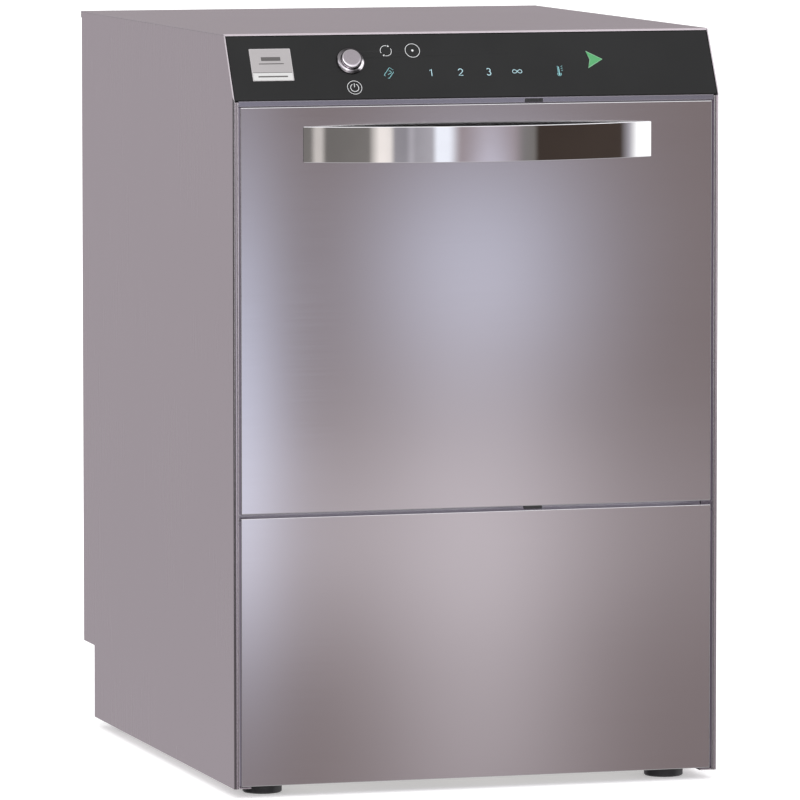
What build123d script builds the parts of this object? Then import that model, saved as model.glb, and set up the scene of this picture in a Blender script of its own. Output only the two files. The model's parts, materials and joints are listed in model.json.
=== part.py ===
"""Under-counter glass washer, front loading, with a drop-down door.

Frame, millimetres: +Z up, -Y towards the operator, origin on the floor under the middle of the
whole machine, its handle included.
"""

from build123d import *
import math
import os

os.makedirs("parts", exist_ok=True)

# ---------------------------------------------------------------- driving dimensions
WIDTH = 435.0
DEPTH = 530.0  # casing, without the handle
TOP = 653.0  # roof above the floor
HANDLE_REACH = 34.0
CASE_Z = 8.3  # bottom edge of the casing above the floor
SHEET = 1.2
GAP = 0.2  # fitting gap between sheet parts

SLOPE_Z = 597.5  # lower edge of the sloping control panel
SLOPE_RUN = 31.4  # how far its upper edge stands back
NOTCH_DEPTH = 41.6  # recess for the services, low on the rear
NOTCH_Z = 74.3

DOOR_Z0, DOOR_Z1 = 244.3, 591.8
DOOR_HALF = 211.2
DOOR_THICK = 40.0
LOWER_Z0, LOWER_Z1 = 10.3, 240.8
FLANGE = 4.7  # visible width of each side panel's front fold

TANK_HALF = 188.0
TANK_LENGTH = 394.0
TANK_Z0, TANK_Z1 = 204.0, 578.0
MOUTH_HALF, MOUTH_Z0, MOUTH_Z1 = 180.0, 266.0, 566.0

BASKET = 350.0
BASKET_HEIGHT = 110.0
RAIL_TOP = 288.0

FOOT_RADIUS = 17.0
FOOT_X, FOOT_INSET = 182.0, 40.0
FOOT_STUD = 5.0

# ---------------------------------------------------------------- derived places
HALF = WIDTH / 2
FRONT = -(DEPTH + HANDLE_REACH) / 2 + HANDLE_REACH
REAR = FRONT + DEPTH
NOTCH_Y = REAR - NOTCH_DEPTH
WALL = HALF - SHEET  # inner face of a side panel
FRAME_Y = FRONT + DOOR_THICK + 2.8  # front face of the plate that the door closes against
TANK_Y0 = FRAME_Y + SHEET
TANK_Y1 = TANK_Y0 + TANK_LENGTH
TANK_Y = (TANK_Y0 + TANK_Y1) / 2
HINGE_Y, HINGE_Z = FRONT + 10.0, DOOR_Z0 + 8.4

SPRING_X, SPRING_Y, SPRING_LOW = 205.0, FRONT + 60.0, 34.0
SLOPE_LENGTH = math.hypot(SLOPE_RUN, TOP - SLOPE_Z)
SLOPE_ANGLE = math.degrees(math.atan2(SLOPE_RUN, TOP - SLOPE_Z))
# The control panel's own plane: x to the right, y up the slope from its lower edge, z outwards.
PANEL = Plane(
    origin=(0, FRONT, SLOPE_Z),
    x_dir=(1, 0, 0),
    z_dir=(0, -math.cos(math.radians(SLOPE_ANGLE)), math.sin(math.radians(SLOPE_ANGLE))),
)


def write(builder, label):
    """Labels a finished piece and writes it as its own STEP file."""
    builder.part.label = label
    export_step(builder.part, f"parts/{label}.step")


def folded(points, side, thickness=SHEET):
    """Section of a folded sheet: points run along one face, and the sheet lies on the given side."""
    with BuildSketch() as section:
        with BuildLine():
            Polyline(*points)
            offset(amount=thickness, side=side, kind=Kind.INTERSECTION)
        make_face()
    return section.sketch


def pipe(points, outer, inner, bend):
    """Bent pipe or hose along a chain of points with rounded corners."""
    with BuildPart() as bent:
        with BuildLine() as path:
            if len(points) > 2:
                FilletPolyline(*points, radius=bend)
            else:
                Polyline(*points)
        with BuildSketch(Plane(origin=path.line @ 0, z_dir=path.line % 0)):
            Circle(outer)
            Circle(inner, mode=Mode.SUBTRACT)
        sweep(path=path.line)
    return bent


# ================================================================ casing
for side, sign in (("left", -1), ("right", 1)):
    with BuildPart() as side_panel:
        with BuildSketch(Plane.YZ.offset(sign * HALF)):
            Polygon(
                (FRONT, CASE_Z),
                (NOTCH_Y, CASE_Z),
                (NOTCH_Y, NOTCH_Z),
                (REAR - 2 * SHEET - GAP, NOTCH_Z),
                (REAR - 2 * SHEET - GAP, TOP - SHEET),
                (FRONT + SLOPE_RUN * (1 - SHEET / (TOP - SLOPE_Z)), TOP - SHEET),
                (FRONT, SLOPE_Z),
                align=None,
            )
        extrude(amount=-sign * SHEET)
        # front fold and its return beside the door
        with BuildSketch(Plane.XY.offset(CASE_Z)):
            add(
                folded(
                    [
                        (sign * HALF, FRONT + 6),
                        (sign * HALF, FRONT),
                        (sign * (HALF - FLANGE), FRONT),
                        (sign * (HALF - FLANGE), FRONT + 12),
                    ],
                    Side.LEFT if sign < 0 else Side.RIGHT,
                )
            )
        extrude(amount=SLOPE_Z - 1.3 - CASE_Z)
        # rear fold for the rear cover
        with Locations((sign * (WALL - 9), REAR - 3 * SHEET - GAP + SHEET / 2, NOTCH_Z + 1.8)):
            Box(18, SHEET, TOP - NOTCH_Z - 20, align=(Align.CENTER, Align.CENTER, Align.MIN))
        # bottom fold that carries the base pan
        with Locations((sign * (WALL - 7), FRONT + SHEET, CASE_Z)):
            Box(14, DEPTH - NOTCH_DEPTH - SHEET, SHEET, align=(Align.CENTER, Align.MIN, Align.MIN))
        # rounded bend, and a smaller round where the fold returns beside the door
        for bend_x, bend_radius in ((HALF, 2.0), (HALF - FLANGE, 0.8)):
            bend_line = side_panel.edges().filter_by(Axis.Z).filter_by(
                lambda e: abs(e.center().X - sign * bend_x) < 0.01
                and abs(e.center().Y - FRONT) < 0.01
            )
            fillet(bend_line, bend_radius)
        # shadow groove along the fold
        with Locations((sign * (HALF - 3.35), FRONT, CASE_Z - 1)):
            Box(
                0.8,
                1.2,
                SLOPE_Z - CASE_Z + 1,
                align=(Align.CENTER, Align.CENTER, Align.MIN),
                mode=Mode.SUBTRACT,
            )
    write(side_panel, f"{side}_side_panel")

LIP_DROP = 1.9
with BuildPart() as roof_panel:
    with BuildSketch(Plane.YZ):
        Polygon(
            (FRONT + SLOPE_RUN, TOP),
            (FRONT + SLOPE_RUN - SLOPE_RUN * SHEET / (TOP - SLOPE_Z), TOP - SHEET),
            (FRONT + SLOPE_RUN + 3, TOP - SHEET),
            (REAR - SHEET, TOP - SHEET),
            (REAR - SHEET, TOP - 6),
            (REAR, TOP - 6),
            (REAR, TOP),
            align=None,
        )
    extrude(amount=HALF, both=True)
    # front lip above the fascia
    with BuildSketch(Plane.YZ):
        Polygon(
            (FRONT + SLOPE_RUN, TOP),
            (FRONT + SLOPE_RUN - SLOPE_RUN * LIP_DROP / (TOP - SLOPE_Z), TOP - LIP_DROP),
            (FRONT + SLOPE_RUN + 0.3, TOP - LIP_DROP),
            (FRONT + SLOPE_RUN + 1.5, TOP - SHEET),
            (FRONT + SLOPE_RUN + 1.5, TOP),
            align=None,
        )
    extrude(amount=WALL - 0.1, both=True)
    # folds that drop inside the side panels
    for x in (-1, 1):
        with Locations((x * (WALL - GAP - SHEET / 2), FRONT + SLOPE_RUN + 30, TOP - SHEET)):
            Box(SHEET, DEPTH - SLOPE_RUN - 70, 12, align=(Align.CENTER, Align.MIN, Align.MAX))
write(roof_panel, "roof_panel")

with BuildPart() as rear_panel:
    with BuildSketch(Plane.XZ.offset(-(REAR - 2 * SHEET - 0.1))):
        with Locations((0, (NOTCH_Z + TOP - SHEET - 0.3) / 2)):
            RectangleRounded(WIDTH - 0.6, TOP - SHEET - 0.3 - NOTCH_Z, 2)
        with Locations((0, TOP - 60)), GridLocations(46, 12, 7, 4):
            SlotOverall(36, 4, mode=Mode.SUBTRACT)
        with Locations((0, 150)), GridLocations(46, 12, 5, 3):
            SlotOverall(36, 4, mode=Mode.SUBTRACT)
    extrude(amount=-SHEET)
write(rear_panel, "rear_panel")

SPIGOT_Z = 46.0
VALVE_X, GLAND_X, DRAIN_X = -100.0, 66.0, 150.0
with BuildPart() as service_plate:
    with BuildSketch(Plane.YZ):
        add(
            folded(
                [
                    (NOTCH_Y - 14, CASE_Z + SHEET + 2.2),
                    (NOTCH_Y - GAP, CASE_Z + SHEET + 2.2),
                    (NOTCH_Y - GAP, NOTCH_Z + 0.3),
                    (REAR - 4 * SHEET - 0.4, NOTCH_Z + 0.3),
                    (REAR - 4 * SHEET - 0.4, NOTCH_Z + 16),
                ],
                Side.LEFT,
            )
        )
    extrude(amount=WALL - 20, both=True)
    with BuildSketch(Plane.XZ.offset(-NOTCH_Y)):
        with Locations((VALVE_X, SPIGOT_Z)):
            Circle(14.5)
        with Locations((GLAND_X, SPIGOT_Z)):
            Circle(8.6)
        with Locations((DRAIN_X, SPIGOT_Z)):
            Circle(13.5)
    extrude(amount=4, both=True, mode=Mode.SUBTRACT)
write(service_plate, "rear_service_plate")

PAN_Z = CASE_Z + SHEET + GAP
PAN_FRONT, PAN_REAR = FRONT + 16.0, NOTCH_Y - 16.0
FOOT_PLACES = [
    (x, y)
    for y in (FRONT + FOOT_INSET, NOTCH_Y - FOOT_INSET)
    for x in (-FOOT_X, FOOT_X)
]
with BuildPart() as base_pan:
    with BuildSketch(Plane.XY.offset(PAN_Z)):
        with Locations((0, (PAN_FRONT + PAN_REAR) / 2)):
            Rectangle(2 * WALL - 2, PAN_REAR - PAN_FRONT)
        with Locations((0, (PAN_FRONT + PAN_REAR) / 2)), GridLocations(60, 60, 3, 5):
            SlotOverall(34, 5, mode=Mode.SUBTRACT)
    extrude(amount=1.5)
    with BuildSketch(Plane.XY.offset(PAN_Z + 1.5)):
        with Locations((0, (PAN_FRONT + PAN_REAR) / 2)):
            Rectangle(2 * WALL - 2, PAN_REAR - PAN_FRONT)
            Rectangle(2 * WALL - 5, PAN_REAR - PAN_FRONT - 3, mode=Mode.SUBTRACT)
    extrude(amount=22)
    # threaded inserts for the feet
    with BuildSketch(Plane.XY.offset(PAN_Z)):
        with Locations(*FOOT_PLACES):
            RegularPolygon(10, 6)
    extrude(amount=14)
    with BuildSketch(Plane.XY.offset(PAN_Z)):
        with Locations(*FOOT_PLACES):
            Circle(FOOT_STUD + 0.05)
    extrude(amount=14, mode=Mode.SUBTRACT)
    # hooks for the lower ends of the door springs
    with Locations(*[(x, SPRING_Y, PAN_Z) for x in (-SPRING_X, SPRING_X)]):
        Box(1.5, 9, SPRING_LOW - 0.4 - PAN_Z, align=(Align.CENTER, Align.CENTER, Align.MIN))
write(base_pan, "base_pan")
PAN_TOP = PAN_Z + 1.5

for level, y in (("front", FRONT + FOOT_INSET), ("rear", NOTCH_Y - FOOT_INSET)):
    for side, x in (("left", -FOOT_X), ("right", FOOT_X)):
        with BuildPart() as foot:
            with BuildSketch(Plane.XY):
                with Locations((x, y)):
                    Circle(FOOT_RADIUS)
            extrude(amount=8)
            chamfer(foot.edges(), 1)
            with BuildSketch(Plane.XY.offset(8)):
                with Locations((x, y)):
                    Circle(FOOT_STUD)
            extrude(amount=40)
        write(foot, f"{level}_{side}_foot")

with BuildPart() as lower_front_panel:
    with BuildSketch(Plane.XY.offset(LOWER_Z0)):
        add(
            folded(
                [
                    (-DOOR_HALF, FRONT + 14),
                    (-DOOR_HALF, FRONT),
                    (DOOR_HALF, FRONT),
                    (DOOR_HALF, FRONT + 14),
                ],
                Side.LEFT,
            )
        )
    extrude(amount=LOWER_Z1 - 6 - LOWER_Z0)
    with Locations((0, FRONT, LOWER_Z1)):
        Box(2 * DOOR_HALF, SHEET, 6, align=(Align.CENTER, Align.MIN, Align.MAX))
    with Locations((0, FRONT, LOWER_Z1 - 2.7)):
        Box(2 * DOOR_HALF, 41, SHEET, align=(Align.CENTER, Align.MIN, Align.MAX))
    with Locations((0, FRONT, LOWER_Z0)):
        Box(2 * DOOR_HALF, 14, SHEET, align=(Align.CENTER, Align.MIN, Align.MIN))
    front_edges = lower_front_panel.edges().filter_by(
        lambda e: abs(e.center().Y - FRONT) < 0.01
    )
    fillet(front_edges, 0.6)
write(lower_front_panel, "lower_front_panel")

# ================================================================ control panel
FASCIA_THICK = 3.0
FASCIA_HALF = HALF - 1.7
FASCIA_TOP = SLOPE_LENGTH - 2.5
BUTTON_X, BUTTON_UP = -108.9, 36.4
ICON_UP = 24.4
ICON_XS = (-76.0, -38.5, -12.3, 12.9, 38.5, 77.5)
ARROW = [(102.6, 43.2), (117.2, 34.8), (102.8, 26.1), (105.4, 34.6)]
BADGE_X, BADGE_UP, BADGE_SIZE = -179.2, 33.7, (36.4, 30.6)

with BuildPart() as fascia:
    with BuildSketch(PANEL.offset(-FASCIA_THICK)):
        with Locations((0, (FASCIA_TOP + 0.3) / 2)):
            RectangleRounded(2 * FASCIA_HALF, FASCIA_TOP - 0.3, 0.8)
        with Locations((BUTTON_X, BUTTON_UP)):
            Circle(11.2, mode=Mode.SUBTRACT)
        Polygon(*ARROW, align=None, mode=Mode.SUBTRACT)
    extrude(amount=FASCIA_THICK)
    with BuildSketch(PANEL):
        with Locations((BADGE_X, BADGE_UP)):
            Rectangle(BADGE_SIZE[0] + 0.2, BADGE_SIZE[1] + 0.2)
    extrude(amount=-0.5, mode=Mode.SUBTRACT)
    outer_face = fascia.faces().filter_by(PANEL).sort_by(Axis(PANEL.origin, PANEL.z_dir))[-1]
    chamfer(outer_face.outer_wire().edges(), 0.5)
write(fascia, "control_fascia")

with BuildPart() as badge:
    with BuildSketch(PANEL.offset(-0.45)):
        with Locations((BADGE_X, BADGE_UP)):
            RectangleRounded(*BADGE_SIZE, 0.8)
    extrude(amount=0.85)
write(badge, "badge_plate")

with BuildPart() as start_lens:
    with BuildSketch(PANEL.offset(-FASCIA_THICK)):
        Polygon(*ARROW, align=None)
        offset(amount=-0.08, kind=Kind.INTERSECTION)
    extrude(amount=FASCIA_THICK + 0.3)
write(start_lens, "start_key_lens")

with BuildPart() as panel_carrier:
    slope_back = FASCIA_THICK + 0.1
    lift = math.radians(SLOPE_ANGLE)
    inward = (math.cos(lift) * slope_back, -math.sin(lift) * slope_back)
    with BuildSketch(Plane.YZ):
        add(
            folded(
                [
                    (FRONT + 18, SLOPE_Z - 4.8),
                    (FRONT + 0.6, SLOPE_Z - 4.8),
                    (FRONT + 0.6, SLOPE_Z - 0.5),
                    (FRONT + inward[0] - 0.1, SLOPE_Z + inward[1] - 0.2),
                    (
                        FRONT + inward[0] + SLOPE_RUN * 0.94,
                        SLOPE_Z + inward[1] + (TOP - SLOPE_Z) * 0.94,
                    ),
                    (
                        FRONT + inward[0] + SLOPE_RUN * 0.94 + 14,
                        SLOPE_Z + inward[1] + (TOP - SLOPE_Z) * 0.94,
                    ),
                ],
                Side.RIGHT,
            )
        )
    extrude(amount=HALF - FLANGE - GAP, both=True)
    with BuildSketch(PANEL):
        with Locations((BUTTON_X, BUTTON_UP)):
            Circle(11.2)
        with Locations((20, 34)):
            RectangleRounded(216, 34, 4)
    extrude(amount=-12, mode=Mode.SUBTRACT)
    with Locations((50, FRONT - 0.5, SLOPE_Z - 4.9)):
        Box(16.4, 19.5, 3.4, align=(Align.CENTER, Align.MIN, Align.MIN), mode=Mode.SUBTRACT)
write(panel_carrier, "panel_carrier")

BUTTON = Plane(
    origin=PANEL.from_local_coords((BUTTON_X, BUTTON_UP, 0)), x_dir=PANEL.x_dir, z_dir=PANEL.z_dir
)
BARREL, BARREL_BORE = 10.9, 9.8
with BuildPart() as bezel:
    with BuildSketch(BUTTON):
        Circle(12.4)
    extrude(amount=2.8)
    chamfer(bezel.edges().group_by(Axis(BUTTON.origin, BUTTON.z_dir))[-1], 1.1)
    with BuildSketch(BUTTON):
        Circle(BARREL)
    extrude(amount=-16)
    with BuildSketch(BUTTON.offset(5)):
        Circle(BARREL_BORE)
    extrude(amount=-22, mode=Mode.SUBTRACT)
write(bezel, "power_button_bezel")

with BuildPart() as button_cap:
    with BuildSketch(BUTTON.offset(-11)):
        Circle(BARREL_BORE - 0.15)
    extrude(amount=16.6)
    chamfer(button_cap.edges().group_by(Axis(BUTTON.origin, BUTTON.z_dir))[-1], 0.7)
write(button_cap, "power_button_cap")

with BuildPart() as button_nut:
    with BuildSketch(BUTTON.offset(-FASCIA_THICK - SHEET - 0.2)):
        RegularPolygon(15, 6)
        Circle(BARREL + 0.05, mode=Mode.SUBTRACT)
    extrude(amount=-4)
write(button_nut, "power_button_nut")

with BuildPart() as switch_block:
    with BuildSketch(BUTTON.offset(-16.1)):
        Rectangle(20, 18)
    extrude(amount=-13)
    with BuildSketch(BUTTON.offset(-29.1)):
        with GridLocations(8, 8, 2, 2):
            Rectangle(1, 3)
    extrude(amount=-6)
write(switch_block, "power_switch_block")

with BuildPart() as control_board:
    with BuildSketch(PANEL.offset(-20)):
        with Locations((20, 34)):
            Rectangle(206, 42)
    extrude(amount=-1.6)
    with BuildSketch(PANEL.offset(-21.6)):
        with Locations((-50, 34)):
            Rectangle(24, 24)
        with Locations((10, 40)):
            Rectangle(16, 16)
        with Locations((80, 34)):
            Rectangle(38, 12)
    extrude(amount=-6)
write(control_board, "control_board")

with BuildPart() as light_guides:
    with BuildSketch(PANEL.offset(-FASCIA_THICK - 0.1)):
        with Locations(*[(x, ICON_UP) for x in ICON_XS], (-76.0, 45.7), (-52.3, 45.7), (108, 34.8)):
            Circle(2.6)
    extrude(amount=-(20 - FASCIA_THICK - 0.2))
write(light_guides, "light_guides")

with BuildPart() as door_switch:
    with Locations((50, FRONT + 0.4, SLOPE_Z - 3.2)):
        Box(15.8, 17, 3.0, align=(Align.CENTER, Align.MIN, Align.CENTER))
    with BuildSketch(Plane.XZ.offset(-(FRONT + 0.4))):
        with Locations((50, SLOPE_Z - 3.2)), GridLocations(2.6, 1, 5, 1):
            Rectangle(0.8, 3.0)
    extrude(amount=-0.5, mode=Mode.SUBTRACT)
write(door_switch, "door_switch")

# ================================================================ wash chamber
SLOT_LOW, SLOT_HIGH = HINGE_Z - 12, HINGE_Z + 54
with BuildPart() as door_frame:
    with BuildSketch(Plane.XZ.offset(-FRAME_Y)):
        with Locations((0, (TANK_Z0 - 8 + SLOPE_Z) / 2)):
            Rectangle(2 * WALL - 1, SLOPE_Z - TANK_Z0 + 8)
        with Locations((0, (MOUTH_Z0 + MOUTH_Z1) / 2)):
            RectangleRounded(2 * MOUTH_HALF, MOUTH_Z1 - MOUTH_Z0, 14, mode=Mode.SUBTRACT)
        with Locations((-201.5, (SLOT_LOW + SLOT_HIGH) / 2), (201.5, (SLOT_LOW + SLOT_HIGH) / 2)):
            RectangleRounded(15, SLOT_HIGH - SLOT_LOW, 2, mode=Mode.SUBTRACT)
    extrude(amount=-SHEET)
write(door_frame, "door_frame")

with BuildPart() as gasket:
    with BuildSketch(Plane.XZ.offset(-FRAME_Y)):
        with Locations((0, (MOUTH_Z0 + MOUTH_Z1) / 2)):
            RectangleRounded(2 * MOUTH_HALF + 20, MOUTH_Z1 - MOUTH_Z0 + 20, 22)
            RectangleRounded(2 * MOUTH_HALF + 4, MOUTH_Z1 - MOUTH_Z0 + 4, 15, mode=Mode.SUBTRACT)
    extrude(amount=2.5)
    chamfer(gasket.edges().group_by(Axis.Y)[0], 0.8)
write(gasket, "door_gasket")

SUMP_X, SUMP_SIZE, SUMP_Z = -25.0, (120.0, 140.0), 160.0
COLUMN_TUBE = 15.0
SUCTION_X, SUCTION_RADIUS = -50.0, 17.0
SUMP_DRAIN_Y, SUMP_DRAIN_Z = TANK_Y + 40, 178.0
OVERFLOW_X, OVERFLOW_Y = 150.0, TANK_Y1 - 33
ELEMENT_YS, ELEMENT_Z = (TANK_Y0 + 34, TANK_Y0 + 66), 220.0


def tub(inset, front):
    """Chamber block with rounded rear corners, shrunk by inset on every side but the front."""
    with BuildPart() as block:
        with Locations((0, front, TANK_Z0 + inset)):
            Box(
                2 * (TANK_HALF - inset),
                TANK_Y1 - inset - front,
                TANK_Z1 - TANK_Z0 - 2 * inset,
                align=(Align.CENTER, Align.MIN, Align.MIN),
            )
        rear_corners = block.edges().filter_by(Axis.Z).group_by(Axis.Y)[-1]
        fillet(rear_corners, 30 - inset)
        floor_edges = block.edges().group_by(Axis.Z)[0].filter_by(
            lambda e: e.center().Y > front + 0.01
        )
        fillet(floor_edges, 14 - inset)
    return block.part


def sump(inset, height):
    """Rectangular sump block with a rounded lower rim, shrunk by inset."""
    with BuildPart() as block:
        with Locations((SUMP_X, TANK_Y, SUMP_Z + inset)):
            Box(
                SUMP_SIZE[0] - 2 * inset,
                SUMP_SIZE[1] - 2 * inset,
                height,
                align=(Align.CENTER, Align.CENTER, Align.MIN),
            )
        fillet(block.edges().group_by(Axis.Z)[0], 8 - inset)
    return block.part


tub_outside, tub_inside = tub(0, TANK_Y0), tub(SHEET, TANK_Y0 - 1)
sump_outside = sump(0, TANK_Z0 - SUMP_Z + 10)
sump_inside = sump(SHEET, TANK_Z0 - SUMP_Z + 20)
with BuildPart() as wash_tank:
    add([tub_outside, sump_outside])
    add([tub_inside, sump_inside], mode=Mode.SUBTRACT)
    # outlet spigots under the sump, on its side and under the floor
    with BuildSketch(Plane.XY.offset(SUMP_Z - 12)):
        with Locations((SUCTION_X, TANK_Y)):
            Circle(SUCTION_RADIUS)
    extrude(amount=12)
    with BuildSketch(Plane.YZ.offset(SUMP_X + SUMP_SIZE[0] / 2)):
        with Locations((SUMP_DRAIN_Y, SUMP_DRAIN_Z)):
            Circle(11)
    extrude(amount=10)
    with BuildSketch(Plane.XY.offset(TANK_Z0 - 12)):
        with Locations((OVERFLOW_X, OVERFLOW_Y)):
            Circle(13)
    extrude(amount=12)
    # bores
    with Locations((SUCTION_X, TANK_Y, SUMP_Z)):
        Cylinder(SUCTION_RADIUS - 1.5, 40, mode=Mode.SUBTRACT)
    with Locations((SUMP_X + SUMP_SIZE[0] / 2, SUMP_DRAIN_Y, SUMP_DRAIN_Z)):
        Cylinder(9.5, 30, rotation=(0, 90, 0), mode=Mode.SUBTRACT)
    with Locations((OVERFLOW_X, OVERFLOW_Y, TANK_Z0)):
        Cylinder(11.5, 40, mode=Mode.SUBTRACT)
    with Locations((0, TANK_Y, SUMP_Z)):
        Cylinder(COLUMN_TUBE + 0.1, 10, mode=Mode.SUBTRACT)
    with Locations((0, TANK_Y, TANK_Z1)):
        Cylinder(COLUMN_TUBE + 0.1, 10, mode=Mode.SUBTRACT)
    with Locations(*[(-TANK_HALF, y, ELEMENT_Z) for y in ELEMENT_YS]):
        Cylinder(4.2, 10, rotation=(0, 90, 0), mode=Mode.SUBTRACT)
write(wash_tank, "wash_tank")
FLOOR = TANK_Z0 + SHEET
CEILING = TANK_Z1 - SHEET

with BuildPart() as tank_filter:
    with BuildSketch(Plane.XY.offset(FLOOR + 0.1)):
        with Locations((SUMP_X + 4, TANK_Y)):
            RectangleRounded(146, 166, 10)
            with GridLocations(12.6, 20, 10, 7):
                SlotOverall(9, 2.6, mode=Mode.SUBTRACT)
        with Locations((0, TANK_Y)):
            Circle(COLUMN_TUBE + 8)
            Circle(COLUMN_TUBE + 0.3, mode=Mode.SUBTRACT)
    extrude(amount=1.2)
write(tank_filter, "tank_filter")

ARM_FOOT = FLOOR + 1.5
NECK_LOW, NECK_HIGH = 27.0, 4.0
SPINDLE, JOURNAL = 7.0, 11.0


def arm_column(base, neck, stem):
    """Hollow column that feeds and carries one pair of arms; base faces into the chamber."""
    with BuildPart() as column:
        with BuildSketch(base.offset(-stem)):
            Circle(COLUMN_TUBE)
        extrude(amount=stem)
        with BuildSketch(base):
            Circle(30)
        extrude(amount=3)
        with BuildSketch(base):
            Circle(18)
        extrude(amount=neck)
        with BuildSketch(base.offset(neck)):
            Circle(JOURNAL)
        extrude(amount=22)
        with BuildSketch(base.offset(neck + 22)):
            Circle(SPINDLE)
        extrude(amount=24)
        with BuildSketch(base.offset(-stem)):
            Circle(COLUMN_TUBE - 2.5)
        extrude(amount=stem + 2, mode=Mode.SUBTRACT)
        with BuildSketch(base):
            Circle(8.5)
        extrude(amount=neck + 19, mode=Mode.SUBTRACT)
        # water windows into the wash arm's hub
        middle = base.offset(neck + 11)
        for angle in (0, 90):
            spoke = middle.rotated((0, 90, 0)) if angle == 0 else middle.rotated((90, 0, 0))
            with BuildSketch(spoke):
                Circle(3.2)
            extrude(amount=JOURNAL + 1, both=True, mode=Mode.SUBTRACT)
    return column


def wash_arm(base, neck):
    """Two-bladed wash arm, flat blades with a row of jets towards the basket."""
    with BuildPart() as arm:
        with BuildSketch(base.offset(neck + 4)):
            for turn in (0, 180):
                with BuildLine(Plane.XY.rotated((0, 0, turn))):
                    edge = Spline((12, 16), (80, 20), (162, 8), tangents=[(1, 0), (1, -0.35)])
                    tip = ThreePointArc(edge @ 1, (170, -2), (160, -12))
                    back = Spline(tip @ 1, (80, -12), (12, -16), tangents=[(-1, 0.1), (-1, 0)])
                    Line(back @ 1, edge @ 0)
                make_face()
        extrude(amount=13)
        fillet(arm.edges().filter_by(GeomType.BSPLINE), 3.5)
        with BuildSketch(base.offset(neck + 0.4)):
            Circle(21)
        extrude(amount=20)
        chamfer(arm.edges().filter_by(GeomType.CIRCLE).group_by(Axis(base.origin, base.z_dir))[-1], 1.5)
        with BuildSketch(base.offset(neck)):
            Circle(JOURNAL + 0.06)
        extrude(amount=24, mode=Mode.SUBTRACT)
        jets = [(sign * reach, sign * 2.0) for sign in (1, -1) for reach in range(40, 160, 23)]
        with BuildSketch(base.offset(neck + 17)):
            with Locations(*jets):
                SlotOverall(9, 2.4, rotation=25)
        extrude(amount=-3, mode=Mode.SUBTRACT)
    return arm


def rinse_arm(base, neck):
    """Slim rinse arm, one tube with small raised nozzles, that turns above the wash arm."""
    deck = base.offset(neck + 22.4 + 6)
    with BuildPart() as arm:
        with BuildSketch(base.offset(neck + 22.4)):
            Circle(14)
        extrude(amount=12)
        with BuildSketch(deck.rotated((90, 0, 0))):
            Circle(5.5)
        extrude(amount=160, both=True)
        nozzles = [(2.0 * sign, sign * reach) for sign in (1, -1) for reach in range(34, 160, 40)]
        with BuildSketch(deck):
            with Locations(*nozzles):
                Circle(2.4)
        extrude(amount=7)
        with BuildSketch(base.offset(neck + 20)):
            Circle(SPINDLE + 0.06)
        extrude(amount=20, mode=Mode.SUBTRACT)
    return arm


def arm_nut(base, neck):
    """Fluted hand nut that keeps both arms on their spindle."""
    with BuildPart() as nut:
        with BuildSketch(base.offset(neck + 35)):
            Circle(12.5)
            with PolarLocations(13.2, 10):
                Circle(1.8, mode=Mode.SUBTRACT)
            Circle(SPINDLE + 0.01, mode=Mode.SUBTRACT)
        extrude(amount=10)
    return nut


TEE_Z0, TEE_Z1 = 62.0, 92.0
UPPER_STEM = 12.0
LOWER_BASE = Plane(origin=(0, TANK_Y, ARM_FOOT), x_dir=(1, 0, 0), z_dir=(0, 0, 1))
UPPER_BASE = Plane(origin=(0, TANK_Y, CEILING - 0.1), x_dir=(1, 0, 0), z_dir=(0, 0, -1))
lower_nut, upper_nut = arm_nut(LOWER_BASE, NECK_LOW), arm_nut(UPPER_BASE, NECK_HIGH)
with BuildPart() as arm_nuts:
    add([lower_nut.part, upper_nut.part])
write(arm_nuts, "arm_nuts")
for level, base, neck, stem in (
    ("lower", LOWER_BASE, NECK_LOW, ARM_FOOT - TEE_Z1),
    ("upper", UPPER_BASE, NECK_HIGH, UPPER_STEM),
):
    write(arm_column(base, neck, stem), f"{level}_arm_column")
    write(wash_arm(base, neck), f"{level}_wash_arm")
    write(rinse_arm(base, neck), f"{level}_rinse_arm")

with BuildPart() as overflow:
    with Locations((OVERFLOW_X, OVERFLOW_Y, FLOOR + 0.1)):
        Cylinder(15, 3, align=(Align.CENTER, Align.CENTER, Align.MIN))
        Cylinder(12.5, 52, align=(Align.CENTER, Align.CENTER, Align.MIN))
        Cylinder(11, 60, align=(Align.CENTER, Align.CENTER, Align.CENTER), mode=Mode.SUBTRACT)
    with Locations((OVERFLOW_X, OVERFLOW_Y, FLOOR + 40)):
        Box(60, 6, 10, mode=Mode.SUBTRACT)
        Box(6, 60, 10, mode=Mode.SUBTRACT)
    with Locations((OVERFLOW_X, OVERFLOW_Y, FLOOR + 52.1)):
        Cylinder(14, 3, align=(Align.CENTER, Align.CENTER, Align.MIN))
write(overflow, "overflow_pipe")

with BuildPart() as element:
    with BuildLine() as element_path:
        Polyline(
            (-TANK_HALF - 12, ELEMENT_YS[0], ELEMENT_Z),
            (90, ELEMENT_YS[0], ELEMENT_Z),
        )
        ThreePointArc(
            (90, ELEMENT_YS[0], ELEMENT_Z),
            (90 + (ELEMENT_YS[1] - ELEMENT_YS[0]) / 2, sum(ELEMENT_YS) / 2, ELEMENT_Z),
            (90, ELEMENT_YS[1], ELEMENT_Z),
        )
        Polyline(
            (90, ELEMENT_YS[1], ELEMENT_Z),
            (-TANK_HALF - 12, ELEMENT_YS[1], ELEMENT_Z),
        )
    with BuildSketch(Plane(origin=element_path.line @ 0, z_dir=element_path.line % 0)):
        Circle(4)
    sweep(path=element_path.line)
    with BuildSketch(Plane.YZ.offset(-TANK_HALF - 0.1)):
        with Locations((sum(ELEMENT_YS) / 2, ELEMENT_Z)):
            SlotOverall(58, 22)
    extrude(amount=-2.5)
write(element, "tank_heater")

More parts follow.
